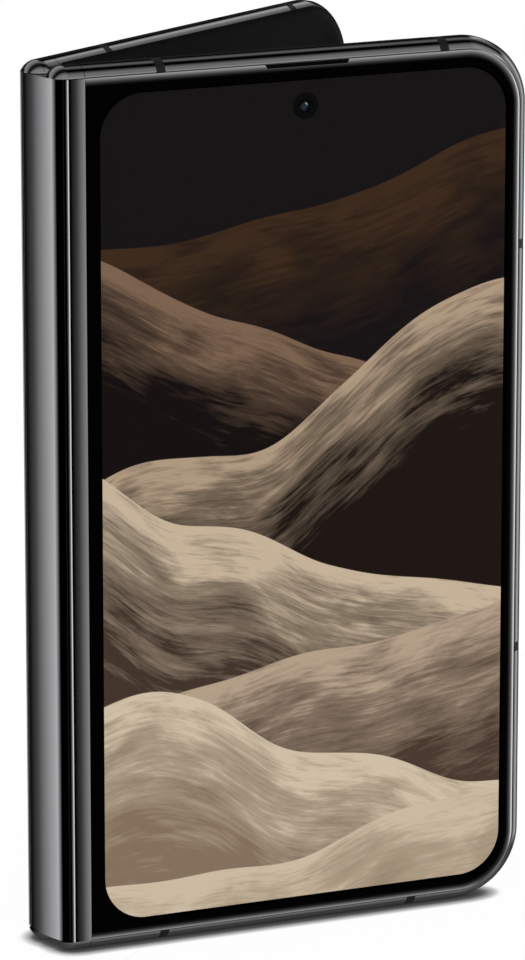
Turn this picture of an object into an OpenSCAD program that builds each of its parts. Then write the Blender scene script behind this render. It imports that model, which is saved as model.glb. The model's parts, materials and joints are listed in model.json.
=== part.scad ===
// Foldable smartphone, standing on its bottom edge with its two halves part open.
// Millimetres, +Z up.
//
// Each half is drawn in a half frame: X runs from its rounded spine end to its free
// edge, Y from its outer face (0) to its inner face, Z from the bottom edge upwards.
// The front half carries the cover display and stays parallel to X. The rear half is
// its mirror image, carried by the spine. The spine frame has its origin on the front
// hinge axis, +Y towards the rear hinge axis and -X out of the spine.

/* [Body] */
// Height of the phone
body_h = 139.7; // [125:0.1:160]
// Width of the folded phone, from spine to free edge
body_w = 79.5; // [74:0.1:90]
// Thickness of one half
half_t = 5.8; // [5.6:0.1:6.6]
// Gap between the inner faces when folded shut
fold_gap = 0.5; // [0.4:0.05:1.2]
// Angle between the two halves in the stored pose
fold_angle = 30; // [10:1:60]
// Radius of the free corners, seen from the front
corner_r = 11; // [9:0.5:14]

/* [Metal frame] */
// Depth of the narrow flat along the rounded edges, on which the phone stands
edge_flat = 0.06; // [0.03:0.01:0.1]
// Width of the metal band outside the glass
band_w = 1.7; // [1.3:0.1:2.2]
// Wall behind the rounded part of a rail
rail_wall = 0.3; // [0.2:0.1:0.6]
// Thickness of the mid-plate
plate_t = 0.4; // [0.3:0.05:0.6]
// Width of the metal strip beside the spine
strip_w = 5.4; // [5.2:0.1:6.5]
// Gap drawn at a visible joint line
seam = 0.08; // [0.04:0.01:0.15]
// Width of an antenna break along its rail
break_w = 1.5; // [0.8:0.1:2.5]
// Antenna breaks nearest the spine, from the spine end
break_u1 = 17.8; // [14:0.1:24]
// Antenna break in the top rail nearest the free edge, from the free edge
break_u2 = 14.6; // [13:0.1:22]
// Antenna break in the bottom rail nearest the free edge, from the free edge
break_u3 = 19.4; // [13:0.1:20]
// Upper antenna break in the free edge, from the top
break_z1 = 33.2; // [20:0.1:34]
// Lower antenna break in the free edge, from the bottom
break_z2 = 41.1; // [31:0.1:44]

/* [Glass and cover display] */
// Thickness of the outer glasses
glass_t = 0.7; // [0.5:0.05:0.8]
// Width of the rounded edge of the glass
glass_edge = 1.45; // [0.8:0.05:2]
// Black border between the glass's spine edge and the cover image
border_u = 2.2; // [1.9:0.1:4]
// Border between the body's free edge and the cover image
border_w = 4.2; // [4:0.1:6]
// Border above and below the cover image
border_h = 4.45; // [4:0.05:6]
// Thickness of the display panels
panel_t = 0.65; // [0.5:0.05:0.7]
// Radius of the hole for the front camera
punch_r = 2.1; // [1.5:0.1:2.6]
// Depth of the front camera's centre below the top of the body
punch_drop = 7.6; // [7:0.1:12]
// Length of the earpiece slot
ear_l = 14; // [8:0.5:20]
// Height of the earpiece slot
ear_h = 0.45; // [0.3:0.05:0.7]

/* [Inner display] */
// Distance of the fold's ends from each spine end
fold_u = 9; // [8.6:0.1:11]
// Depth of the inner display's face below the inner bezel
inner_drop = 0.45; // [0.3:0.05:0.6]
// Thickness of the inner bezel where it sits on the frame
bezel_t = 0.9; // [0.7:0.05:1]
// Border of the inner display at the top and bottom
inner_border_h = 8; // [7:0.1:10]
// Border of the inner display at the free edge
inner_border_w = 5.2; // [4.8:0.1:7]
// Thickness of the bending part of the inner display
fold_t = 0.45; // [0.3:0.05:0.5]

/* [Hinge] */
// Radius of the hinge cover's round sides
cover_r = 2.4; // [2.35:0.01:2.45]
// Wall of the hinge cover
cover_wall = 0.45; // [0.35:0.05:0.5]
// How far each side of the hinge cover wraps round, from the spine's normal
cover_wrap = 72; // [64:1:73]
// Running clearance between parts that turn past each other
turn_gap = 0.08; // [0.05:0.01:0.1]
// Radius of the hinge pins
pin_r = 0.6; // [0.5:0.05:0.65]
// Clearance of a pin in its bore
pin_gap = 0.05; // [0.03:0.01:0.08]
// Thickness of a hinge bracket's walls
ear_t = 0.8; // [0.6:0.1:1]
// Thickness of a hinge arm
arm_t = 1.5; // [1:0.1:2]
// Height of the space for gears or washers in a bracket
pack_h = 1.7; // [1.5:0.1:2]

/* [Sync gears] */
// Teeth on each sync gear
gear_teeth = 12; // [10:2:16]
// Radius of the idler gears' pins
idler_pin_r = 0.35; // [0.3:0.01:0.4]
// Play between meshing teeth
backlash = 0.06; // [0.04:0.01:0.1]

/* [Camera bar] */
// Length of the camera bar
bar_l = 64; // [56:0.5:66]
// Height of the camera bar
bar_h = 20; // [18:0.5:24]
// How far the camera bar stands out
bar_out = 2.2; // [1.5:0.1:3]
// Middle of the camera bar below the top of the body
bar_drop = 23; // [20:0.5:30]
// Chamfer round the camera bar's face
bar_chamfer = 0.5; // [0.2:0.1:0.8]
// Length of the dark window over the cameras
window_l = 43; // [41:0.5:46]
// Height of the dark window over the cameras
window_h = 14; // [13:0.5:16]
// Radius of a round camera's barrel
lens_r = 4.3; // [3.5:0.1:4.8]
// Radius of the flash
flash_r = 2.2; // [1.5:0.1:3]

/* [Buttons and card tray] */
// Length of the power button
power_l = 14; // [10:0.5:18]
// Length of the volume key
volume_l = 25; // [18:0.5:28]
// Width of the buttons
button_w = 2; // [1.6:0.1:2.4]
// How far the buttons stand out of the free edge
button_out = 0.3; // [0.2:0.05:0.4]
// Travel of a button
button_travel = 0.25; // [0.15:0.05:0.3]
// Distance from the upper antenna break in the free edge down to the power button
power_gap = 1.25; // [1:0.05:3]
// Distance from the power button down to the volume key
key_gap = 6; // [4:0.5:8]
// Length of the card tray's face
tray_l = 14; // [13:0.5:16]
// Width of the card tray's face
tray_face_w = 2.2; // [2:0.1:2.4]
// Middle of the card tray above the bottom of the body
tray_z = 22; // [21:0.5:23]
// Depth of the card tray
tray_d = 17; // [14:0.5:18]

/* [Ports] */
// Width of the plug opening
usb_w = 8.34; // [8.3:0.01:8.4]
// Height of the plug opening
usb_h = 2.56; // [2.5:0.01:2.6]
// Wall of the socket shell
usb_wall = 0.3; // [0.2:0.05:0.4]
// Depth of the socket
usb_d = 6.6; // [6:0.1:7]
// Middle of the socket from the spine end
usb_u = 42; // [40:0.5:44]
// Length of the speaker slot
slot_l = 11; // [8:0.5:12]
// Width of the speaker slot
slot_w = 1.3; // [1:0.1:1.6]
// Middle of the speaker slot from the spine end
slot_u = 27; // [26.5:0.5:28]
// Middle of the microphone hole in the top rail from the spine end
top_mic_u = 48; // [40:0.5:54]
// Radius of a microphone hole
mic_r = 0.55; // [0.3:0.05:0.8]

/* [Inside] */
// Clearance between parts that are packed side by side
pack_gap = 0.1; // [0.05:0.01:0.2]
// Thickness of the batteries
battery_t = 2.2; // [1.8:0.1:2.3]
// Thickness of a circuit board
board_t = 0.6; // [0.5:0.1:0.8]
// Height of the circuit board in the front half
front_board_h = 34; // [30:1:38]
// Radius of the vibration motor
motor_r = 5; // [4:0.1:5.5]

/* [Hidden] */
$fn = 64;
eps = 0.01;
// Round edge of a half, which is also the distance of its hinge axis from each face
edge_r = half_t / 2;
edge_c = edge_r - edge_flat;
axis_gap = half_t + fold_gap;
spine_turn = fold_angle / 2;
rail_w = edge_r + rail_wall;
plate_v = glass_t + 0.8;
plate_in = plate_v + plate_t;
bezel_v = half_t - bezel_t;
inner_v = half_t - inner_drop;
panel_v = inner_v - panel_t;
// Where the glass meets the round frame
cap_r = sqrt(edge_r ^ 2 - (edge_c - band_w) ^ 2);
seam_v = edge_r - cap_r;
glass_inset = band_w + seam;
glass_curve = (glass_edge ^ 2 + seam_v ^ 2) / (2 * seam_v);
glass_u = strip_w + seam;
// Radius of the slight bow across the spine strip
bow = 25;
lip_r = cover_r + turn_gap;
cover_z = band_w + seam;
// Image on the cover display
image_u0 = glass_u + border_u;
image_u1 = body_w - border_w;
image_mid = (image_u0 + image_u1) / 2;
// Room for the display panel behind the glass
panel_inset = rail_w + pack_gap;
panel_u = strip_w + 1.8;
// Tongue that holds the spine strip under the glass
tongue_u = panel_u - pack_gap;
// Hinge modules: their height, the bottom of each and which way up it is
module_h = 3 * ear_t + pack_h + arm_t + 4 * pack_gap;
module_z0 = cover_z + 0.8;
hinge_modules = [
    [module_z0, 1],
    [body_h / 2 - module_h / 2, 1],
    [body_h - module_z0, -1]
];
pack_z = ear_t + pack_gap;
arm_z = 2 * ear_t + pack_h + 3 * pack_gap;
boss_r = 1.45;
knuckle_r = 1.4;
arm_v0 = edge_r - 0.45;
arm_v1 = edge_r + 0.4;
foot_u0 = edge_r + cover_r + 1;
foot_u1 = foot_u0 + 5;
foot_h = 6;
screw_u = (foot_u0 + foot_u1) / 2 + 0.4;
// Four gears in a row span the distance between the hinge axes
gear_r = axis_gap / 6;
gear_m = 2 * gear_r / gear_teeth;
gear_pressure = 20;
// Space for batteries and boards
inside_u0 = foot_u1 + 1;
inside_u1 = body_w - rail_w - 2.4;
inside_z0 = rail_w + 1;
inside_top = body_h - inside_z0;
shelf_v = plate_in + pack_gap;
// Parts of the rear half, laid out downwards from the camera bar
bar_z = body_h - bar_drop;
bar_u = body_w / 2 + 0.8;
bar_r = bar_h / 2;
window_u = bar_u - bar_l / 2 + 3 + window_l / 2;
window_r = window_h / 2;
window_t = 0.5;
camera_step = window_l / 3;
lens_v = -bar_out + window_t + 0.15;
flash_u = (window_u + window_l / 2 + bar_u + bar_l / 2) / 2;
camera_deep = panel_v - 0.4;
board_z0 = bar_z - bar_r - 8;
socket_u0 = usb_u - usb_w / 2 - usb_wall - 1;
inner_camera_z = body_h - inner_border_h / 2 - 0.9;
// The front half's board stands at the bottom, with the battery above it
front_board_z = inside_z0 + 2;
front_battery_z = front_board_z + front_board_h + 3.8;
front_battery_top = inside_top - 9.8;
// Buttons
power_z = body_h - break_z1 - break_w / 2 - power_gap - power_l / 2;
volume_z = power_z - power_l / 2 - key_gap - volume_l / 2;
button_bore = 0.1;
flange_u = body_w - rail_w - 0.1;
flange_t = 0.4;
switch_t = 0.8;
// Place of the front hinge axis, chosen so that the box of the whole object is
// centred on the origin
rear_x = -axis_gap * sin(spine_turn);
rear_y = axis_gap * cos(spine_turn);
function rear_reach_y(u, v) =
    rear_y + (u - edge_r) * sin(fold_angle) + (edge_r - v) * cos(fold_angle);
frame_reach_y = rear_y + (body_w - edge_c - edge_r) * sin(fold_angle) + edge_r;
bar_end = bar_u + bar_l / 2;
reach_y = max(
    frame_reach_y,
    rear_reach_y(bar_end, -bar_out + bar_chamfer),
    rear_reach_y(bar_end - bar_chamfer, -bar_out)
);
reach_x0 = min(rear_x, 0) - cap_r;
reach_x1 = body_w - edge_r;
axis_x = -(reach_x0 + reach_x1) / 2;
axis_y = (edge_r - reach_y) / 2;

// ---- Frames of reference ----

module at_spine() {
    translate([axis_x, axis_y, 0])
        rotate([0, 0, spine_turn])
            children();
}

module at_front() {
    translate([axis_x - edge_r, axis_y - edge_r, 0])
        children();
}

module at_rear() {
    at_spine()
        translate([0, axis_gap, 0])
            rotate([0, 0, spine_turn])
                mirror([0, 1, 0])
                    translate([-edge_r, -edge_r, 0])
                        children();
}

// Each hinge module stands on its first bracket wall; the top one hangs upside down
module at_hinge_modules(which = [0, 1, 2]) {
    for (i = which)
        translate([0, 0, hinge_modules[i][0]])
            mirror([0, 0, hinge_modules[i][1] < 0 ? 1 : 0])
                children();
}

// ---- Building blocks in the half frame ----

// A slab between two depths, from an outline in X and Z
module slab(v0, v1) {
    translate([0, v1, 0])
        rotate([90, 0, 0])
            linear_extrude(v1 - v0)
                children();
}

// Outline of a half, drawn in from its edges, with round free corners
module half_outline(u0, inset, r = corner_r) {
    free_r = r - inset;
    far = body_w - inset;
    translate([u0, inset])
        square([far - free_r - u0, body_h - 2 * inset]);
    translate([far - free_r - eps, inset + free_r])
        square([free_r + eps, body_h - 2 * inset - 2 * free_r]);
    for (z = [inset + free_r, body_h - inset - free_r])
        translate([far - free_r, z])
            circle(free_r);
}

// Carries a section along the top rail, round the free edge and back along the bottom.
// The section's X is the distance in from the edge and its Y the depth.
module round_the_edge(u0) {
    straight = body_w - corner_r - u0;
    translate([u0, 0, body_h])
        rotate([0, 90, 0])
            linear_extrude(straight)
                children();
    translate([u0, 0, 0])
        rotate([0, 90, 0])
            linear_extrude(straight)
                mirror([1, 0])
                    children();
    translate([body_w, 0, corner_r])
        linear_extrude(body_h - 2 * corner_r)
            mirror([1, 0])
                children();
    for (z = [0, 1])
        translate([body_w - corner_r, 0, z ? body_h - corner_r : corner_r])
            rotate([90, 0, 0])
                rotate([0, 0, z ? 0 : -90])
                    rotate_extrude(angle = 90)
                        translate([corner_r, 0])
                            rotate(180)
                                children();
}

// Two half circles joined by straight sides
module pill(l, w) {
    square([l - w, w], center = true);
    for (s = [-1, 1])
        translate([s * (l - w) / 2, 0])
            circle(w / 2);
}

// A pill that runs in from the free edge, at a height above the bottom
module free_edge_pill(z, l, w, u0, u1) {
    translate([u0, edge_r, z])
        rotate([0, 90, 0])
            linear_extrude(u1 - u0)
                pill(l, w);
}

// A pill that runs up from the bottom edge
module bottom_pill(u, l, w, z0, z1) {
    translate([u, edge_r, z0])
        linear_extrude(z1 - z0)
            pill(l, w);
}

// ---- Frames ----

module rail_section() {
    difference() {
        intersection() {
            union() {
                translate([edge_c, edge_r])
                    circle(edge_r);
                translate([edge_c, 0])
                    square([rail_w - edge_c, half_t]);
            }
            square([rail_w, bezel_v]);
        }
        translate([band_w, -eps])
            square([rail_w, glass_t + pack_gap + eps]);
    }
}

module rails() {
    round_the_edge(strip_w)
        rail_section();
}

module break_boxes() {
    deep = rail_w - 0.7;
    for (u = [break_u1, body_w - break_u2])
        translate([u - break_w / 2, 0, body_h - deep])
            cube([break_w, half_t, deep]);
    for (u = [break_u1, body_w - break_u3])
        translate([u - break_w / 2, 0, 0])
            cube([break_w, half_t, deep]);
    for (z = [break_z2, body_h - break_z1])
        translate([body_w - deep, 0, z - break_w / 2])
            cube([deep, half_t, break_w]);
}

module antenna_breaks() {
    color("#3c3c3e")
        intersection() {
            rails();
            break_boxes();
        }
}

module frame_shell() {
    difference() {
        rails();
        break_boxes();
    }
    slab(plate_v, plate_in)
        half_outline(foot_u0 - 0.3, rail_w - eps);
}

// Strip of metal that the hinge cover slides under as the phone opens
module spine_strip() {
    lip_u = edge_r - 1;
    lip_v = edge_r - lip_r;
    facet_u = lip_u + 0.18;
    facet_v = bow - sqrt(bow ^ 2 - (strip_w - facet_u) ^ 2);
    color("#4a4a4c")
        difference() {
            translate([0, 0, cover_z])
                linear_extrude(body_h - 2 * cover_z)
                    difference() {
                        union() {
                            intersection() {
                                translate([lip_u, 0])
                                    square([strip_w - lip_u, plate_v]);
                                translate([strip_w, bow])
                                    circle(bow, $fn = 180);
                            }
                            translate([strip_w - 0.5, glass_t + pack_gap])
                                square([tongue_u - strip_w + 0.5, plate_v - glass_t - pack_gap]);
                        }
                        translate([edge_r, edge_r])
                            circle(lip_r);
                        translate([0, lip_v])
                            square([edge_r, half_t]);
                        // Facet along the lip, turned towards the spine
                        polygon([
                            [lip_u - 1, 0],
                            [facet_u, 0],
                            [facet_u, facet_v],
                            [lip_u, lip_v],
                            [lip_u - 1, lip_v]
                        ]);
                    }
            // The tongue is cut away over the rails
            for (z = [0, body_h - rail_w - pack_gap])
                translate([strip_w, -eps, z])
                    cube([tongue_u, plate_v + 2 * eps, rail_w + pack_gap]);
        }
}

// Round ends of the half, above and below the hinge cover
module spine_caps() {
    color("#4a4a4c")
        for (top = [0, 1])
            translate([0, 0, top ? body_h : 0])
                mirror([0, 0, top])
                    intersection() {
                        translate([edge_r, edge_r, edge_c]) {
                            sphere(edge_r);
                            rotate([0, 90, 0])
                                cylinder(r = edge_r, h = strip_w - edge_r);
                        }
                        cube([strip_w, half_t, band_w]);
                    }
}

// ---- Glass and displays ----

module glass_section() {
    intersection() {
        translate([glass_inset, 0])
            square([glass_edge + eps, glass_t]);
        translate([glass_inset + glass_edge, glass_curve])
            circle(glass_curve, $fn = 180);
    }
}

module outer_glass() {
    round_the_edge(glass_u)
        glass_section();
    slab(0, glass_t)
        half_outline(glass_u, glass_inset + glass_edge);
}

module earpiece_notch() {
    top = body_h - glass_inset;
    slant = 0.5;
    slab(-1, glass_t + 1)
        translate([image_mid, top])
            polygon([
                [-ear_l / 2 - slant, eps],
                [-ear_l / 2, -ear_h],
                [ear_l / 2, -ear_h],
                [ear_l / 2 + slant, eps]
            ]);
}

module display_half(u0, v0, v1, inset) {
    slab(v0, v1)
        half_outline(u0, inset);
}

module inner_bezel() {
    u0 = strip_w + 1.1;
    window_corner = 2.5;
    wide = body_w - inner_border_w - u0;
    tall = body_h - 2 * inner_border_h;
    lap = glass_t / 2;
    color("#161617")
        difference() {
            union() {
                round_the_edge(u0)
                    intersection() {
                        translate([edge_c, edge_r])
                            circle(edge_r);
                        translate([0, bezel_v])
                            square([edge_c, bezel_t]);
                    }
                slab(bezel_v, half_t)
                    half_outline(u0, edge_c - eps);
            }
            // Window over the display
            slab(bezel_v - 1, half_t + 1) {
                translate([u0 - 1, inner_border_h])
                    square([wide + 1 - window_corner, tall]);
                translate([u0 - 1, inner_border_h + window_corner])
                    square([wide + 1, tall - 2 * window_corner]);
                for (z = [inner_border_h, body_h - inner_border_h])
                    translate([u0 + wide - window_corner, z + (z < body_h / 2 ? 1 : -1) * window_corner])
                        circle(window_corner);
            }
            // Rebate for the edge of the display
            slab(bezel_v - 1, inner_v + pack_gap / 2)
                half_outline(u0 - 1, panel_inset);
        }
}

module inner_panel() {
    color("#0b0b0c")
        display_half(fold_u, panel_v, inner_v, panel_inset + pack_gap);
}

// ---- Hinge pieces in the half frame ----

module hinge_arms() {
    color("#8c8c90")
        at_hinge_modules()
            translate([0, 0, arm_z])
                difference() {
                    union() {
                        linear_extrude(arm_t) {
                            translate([edge_r, edge_r])
                                circle(knuckle_r);
                            translate([edge_r, arm_v0])
                                square([foot_u0 - edge_r + eps, arm_v1 - arm_v0]);
                        }
                        translate([foot_u0, plate_in, -(foot_h - arm_t) / 2])
                            cube([foot_u1 - foot_u0, arm_v1 - plate_in, foot_h]);
                    }
                    translate([edge_r, edge_r, -1])
                        cylinder(r = pin_r + eps, h = arm_t + 2);
                    translate([screw_u, plate_in - 1, arm_t / 2])
                        rotate([-90, 0, 0])
                            cylinder(r = 0.55, h = half_t);
                    translate([screw_u, arm_v1 - 0.5, arm_t / 2])
                        rotate([-90, 0, 0])
                            cylinder(r = 1.05, h = half_t);
                }
}

module hinge_screws() {
    color("#b9b9bd")
        at_hinge_modules()
            translate([screw_u, plate_in, arm_z + arm_t / 2])
                rotate([-90, 0, 0]) {
                    cylinder(r = 0.5, h = arm_v1 - plate_in - 0.45);
                    difference() {
                        translate([0, 0, arm_v1 - plate_in - 0.5])
                            cylinder(r = 1, h = 0.45);
                        translate([0, 0, arm_v1 - plate_in - 0.25])
                            for (turn = [0, 90])
                                rotate(turn)
                                    translate([-0.7, -0.12, 0])
                                        cube([1.4, 0.24, 1]);
                    }
                }
}

// Pins turn with the arms, in the bores of the brackets
module hinge_pins() {
    color("#c4c4c8")
        at_hinge_modules()
            cylinder(r = pin_r, h = module_h);
}

// ---- Gears ----

function involute(a) = tan(a) * 180 / PI - a;
function tooth_half_angle(r, base) =
    (90 / gear_teeth - backlash / 2 / gear_r * 180 / PI) + involute(gear_pressure)
    - (r > base ? involute(acos(base / r)) : 0);
function polar(r, a) = [r * cos(a), r * sin(a)];

module gear_outline(phase) {
    base = gear_r * cos(gear_pressure);
    root = gear_r - 1.15 * gear_m;
    tip = gear_r + 0.8 * gear_m;
    radii = [root, base, (base + gear_r) / 2, gear_r, (gear_r + tip) / 2, tip];
    last = len(radii) - 1;
    polygon([
        for (k = [0 : gear_teeth - 1])
            for (side = [-1, 1])
                for (i = [0 : last])
                    let (r = radii[side < 0 ? i : last - i])
                        polar(r, phase + k * 360 / gear_teeth + side * tooth_half_angle(r, base))
    ]);
}

// Gear number 0 sits on the front axis and number 3 on the rear one. Each has a tooth
// where its neighbour has a space.
module sync_gear(number, bore_r) {
    phase = 90 + (number % 2) * 180 / gear_teeth;
    color("#a8a49a")
        at_spine()
            at_hinge_modules([0, 2])
                translate([0, number * 2 * gear_r, pack_z])
                    linear_extrude(pack_h - 2 * pack_gap)
                        difference() {
                            gear_outline(phase);
                            circle(bore_r);
                        }
}

// ---- Front half ----

module front_frame() {
    color("#4a4a4c")
        at_front()
            difference() {
                frame_shell();
                // Room for the front camera behind the display
                translate([image_mid, plate_v - 1, body_h - punch_drop])
                    rotate([-90, 0, 0])
                        cylinder(r = punch_r + pack_gap, h = plate_t + 2);
            }
}

module front_antenna_breaks() {
    at_front()
        antenna_breaks();
}

module front_spine_strip() {
    at_front()
        spine_strip();
}

module front_spine_caps() {
    at_front()
        spine_caps();
}

module cover_glass() {
    color("#0c0c0d")
        at_front()
            difference() {
                outer_glass();
                earpiece_notch();
            }
}

module cover_display() {
    color("#8d7f6c")
        at_front()
            difference() {
                display_half(panel_u, glass_t, glass_t + panel_t, panel_inset);
                translate([image_mid, 0, body_h - punch_drop])
                    rotate([-90, 0, 0])
                        cylinder(r = punch_r, h = half_t);
            }
}

module earpiece_mesh() {
    color("#232324")
        at_front()
            slab(glass_t - 0.3, glass_t)
                translate([image_mid - ear_l / 2, body_h - glass_inset - ear_h])
                    square([ear_l, ear_h]);
}

module front_camera() {
    color("#101013")
        at_front()
            translate([image_mid, glass_t, body_h - punch_drop])
                rotate([-90, 0, 0])
                    difference() {
                        cylinder(r = punch_r - pack_gap, h = 3.2);
                        translate([0, 0, -eps])
                            cylinder(r = 1.2, h = 0.4);
                    }
}

module front_battery() {
    color("#2e3033")
        at_front()
            translate([inside_u0, plate_in, front_battery_z])
                cube([inside_u1 - inside_u0, battery_t, front_battery_top - front_battery_z]);
}

module front_board() {
    color("#1f3d2b")
        at_front() {
            translate([inside_u0, plate_in, front_board_z])
                cube([inside_u1 - inside_u0, board_t, front_board_h]);
            for (i = [0 : 2])
                translate([inside_u0 + 4 + i * 19, plate_in + board_t - eps, inside_z0 + 8])
                    cube([13, 1, 20]);
        }
}

module front_inner_bezel() {
    at_front()
        inner_bezel();
}

module front_inner_display() {
    at_front()
        inner_panel();
}

module front_hinge_arms() {
    at_front()
        hinge_arms();
}

module front_hinge_pins() {
    at_spine()
        hinge_pins();
}

module front_sync_gears() {
    sync_gear(0, pin_r + eps);
}

module front_screws() {
    at_front()
        hinge_screws();
}

// ---- Rear half ----

module bar_outline(inset) {
    pill(bar_l - 2 * inset, bar_h - 2 * inset);
}

module rear_frame() {
    color("#4a4a4c")
        at_rear()
            difference() {
                frame_shell();
                // Openings in the mid-plate for the cameras and the flash
                for (i = [0 : 2])
                    translate([camera_u(i), plate_v - 1, bar_z])
                        rotate([-90, 0, 0])
                            cylinder(r = lens_r + 0.3, h = plate_t + 2);
                translate([flash_u, plate_v - 1, bar_z])
                    rotate([-90, 0, 0])
                        cylinder(r = flash_r + 0.3, h = plate_t + 2);
                bottom_pill(usb_u, usb_w + 2 * usb_wall + 2 * pack_gap,
                    usb_h + 2 * usb_wall + 2 * pack_gap, -1, usb_d + 1);
                bottom_pill(slot_u, slot_l, slot_w, -1, rail_w + 1);
                translate([usb_u + 6 + usb_w / 2, edge_r, -1])
                    cylinder(r = mic_r, h = rail_w + 2);
                translate([top_mic_u, edge_r, body_h - rail_w - 1])
                    cylinder(r = mic_r, h = rail_w + 2);
                free_edge_pill(power_z, power_l + 2 * button_bore,
                    button_w + 2 * button_bore, flange_u - 1, body_w + 1);
                free_edge_pill(volume_z, volume_l + 2 * button_bore,
                    button_w + 2 * button_bore, flange_u - 1, body_w + 1);
                free_edge_pill(tray_z, tray_l + seam, tray_face_w + seam,
                    flange_u - 1, body_w + 1);
            }
}

module rear_antenna_breaks() {
    at_rear()
        antenna_breaks();
}

module rear_spine_strip() {
    at_rear()
        spine_strip();
}

module rear_spine_caps() {
    at_rear()
        spine_caps();
}

module back_glass() {
    color("#141415")
        at_rear()
            difference() {
                outer_glass();
                slab(-1, glass_t + 1)
                    translate([bar_u, bar_z])
                        bar_outline(-seam);
            }
}

// Half of the camera bar's section, from its middle line outwards
module bar_half_section() {
    polygon([
        [0, -bar_out],
        [bar_r - bar_chamfer, -bar_out],
        [bar_r, -bar_out + bar_chamfer],
        [bar_r, plate_v],
        [0, plate_v]
    ]);
}

module camera_bar() {
    half_l = bar_l / 2 - bar_r;
    color("#39393b")
        at_rear()
            difference() {
                translate([bar_u, 0, bar_z]) {
                    for (s = [-1, 1])
                        translate([s * half_l, 0, 0])
                            rotate([-90, 0, 0])
                                rotate_extrude()
                                    bar_half_section();
                    translate([-half_l, 0, 0])
                        rotate([0, 90, 0])
                            linear_extrude(2 * half_l)
                                for (m = [0, 1])
                                    mirror([m, 0])
                                        bar_half_section();
                }
                // Seat of the window and the bores of the cameras
                slab(-bar_out - 1, -bar_out + window_t)
                    translate([window_u, bar_z])
                        pill(window_l, window_h);
                for (i = [0 : 2])
                    translate([camera_u(i), -bar_out - 1, bar_z])
                        rotate([-90, 0, 0])
                            cylinder(r = lens_r + pack_gap, h = 20);
                translate([flash_u, -bar_out - 1, bar_z])
                    rotate([-90, 0, 0])
                        cylinder(r = flash_r + pack_gap, h = 20);
            }
}

module camera_window() {
    color("#0a0a0b")
        at_rear()
            slab(-bar_out, -bar_out + window_t)
                translate([window_u, bar_z])
                    pill(window_l - seam, window_h - seam);
}

function camera_u(i) = window_u + (i - 1) * camera_step;

// A camera module: its barrel, with the lens set back in the mouth
module camera_module(i, mouth_r) {
    color("#18181b")
        at_rear()
            translate([camera_u(i), lens_v - 0.15, bar_z])
                rotate([-90, 0, 0])
                    difference() {
                        cylinder(r = lens_r, h = camera_deep - lens_v);
                        translate([0, 0, -eps])
                            cylinder(r = mouth_r, h = 0.6);
                    }
}

module wide_camera() {
    camera_module(0, 2.9);
}

module ultrawide_camera() {
    camera_module(1, 2.2);
}

module tele_camera() {
    camera_module(2, 2.5);
}

module camera_flash() {
    color("#e8dfc8")
        at_rear()
            translate([flash_u, -bar_out + 0.1, bar_z])
                rotate([-90, 0, 0])
                    cylinder(r = flash_r, h = plate_v + bar_out);
}

module main_board() {
    clear = lens_r + 0.6;
    color("#1f3d2b")
        at_rear() {
            difference() {
                translate([inside_u0, plate_in, board_z0])
                    cube([inside_u1 - inside_u0, board_t, inside_top - 3.6 - board_z0]);
                slab(0, half_t)
                    translate([camera_u(1), bar_z])
                        pill(2 * camera_step + 2 * clear, 2 * clear);
                translate([flash_u, 0, bar_z])
                    rotate([-90, 0, 0])
                        cylinder(r = flash_r + 0.4, h = half_t);
            }
            for (i = [0 : 3])
                translate([inside_u0 + 3 + i * 14, plate_in + board_t - eps, board_z0 + 1.5])
                    cube([11, 1, 8.5]);
        }
}

module rear_battery() {
    z0 = tray_z + tray_l / 2 + 6;
    color("#2e3033")
        at_rear()
            translate([inside_u0, plate_in, z0])
                cube([inside_u1 - inside_u0, battery_t, board_z0 - 2 - z0]);
}

module wireless_coil() {
    color("#9a5a35")
        at_rear()
            slab(glass_t, plate_v)
                translate([body_w / 2, board_z0 - 32])
                    difference() {
                        circle(22);
                        circle(10);
                    }
}

// Square-cornered socket core with round ends, as the plug needs
module usb_shell() {
    color("#b5b5b8")
        at_rear()
            difference() {
                bottom_pill(usb_u, usb_w + 2 * usb_wall, usb_h + 2 * usb_wall, 0.45, usb_d);
                bottom_pill(usb_u, usb_w, usb_h, 0, usb_d - 0.4);
            }
}

module usb_tongue() {
    color("#1b1b1c")
        at_rear()
            translate([usb_u - 3.3, edge_r - 0.35, 1.2])
                cube([6.6, 0.7, usb_d - 0.4 - 1.2]);
}

module bottom_speaker() {
    color("#252527")
        at_rear()
            translate([slot_u - slot_l / 2 - 1, plate_in, rail_w + 0.6])
                cube([slot_l + 2, battery_t, 8]);
}

module speaker_mesh() {
    color("#2a2a2b")
        at_rear()
            bottom_pill(slot_u, slot_l - 0.02, slot_w - 0.02, 1.6, 1.9);
}

module vibration_motor() {
    color("#8d8d90")
        at_rear()
            translate([body_w - break_u3 - 2.1, plate_in, rail_w + 1 + motor_r])
                rotate([-90, 0, 0])
                    cylinder(r = motor_r, h = battery_t);
}

// A button's head in its slot and the flange that keeps it in
module side_button(z, l) {
    color("#4a4a4c")
        at_rear() {
            free_edge_pill(z, l, button_w, flange_u - eps, body_w + button_out);
            free_edge_pill(z, l + 2, button_w - 0.2, flange_u - flange_t, flange_u);
        }
}

module power_button() {
    side_button(power_z, power_l);
}

module volume_key() {
    side_button(volume_z, volume_l);
}

module button_switches() {
    face_u = flange_u - flange_t - button_travel - 0.05;
    color("#9a9a9c")
        at_rear() {
            for (z = [power_z, volume_z - volume_l / 3, volume_z + volume_l / 3])
                translate([face_u - switch_t, edge_r - 1, z - 1.5])
                    cube([switch_t, 2, 3]);
            translate([face_u - switch_t - 0.2, plate_in, volume_z - volume_l / 2])
                cube([0.2, 2.2, power_z + power_l / 2 - volume_z + volume_l / 2]);
        }
}

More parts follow.
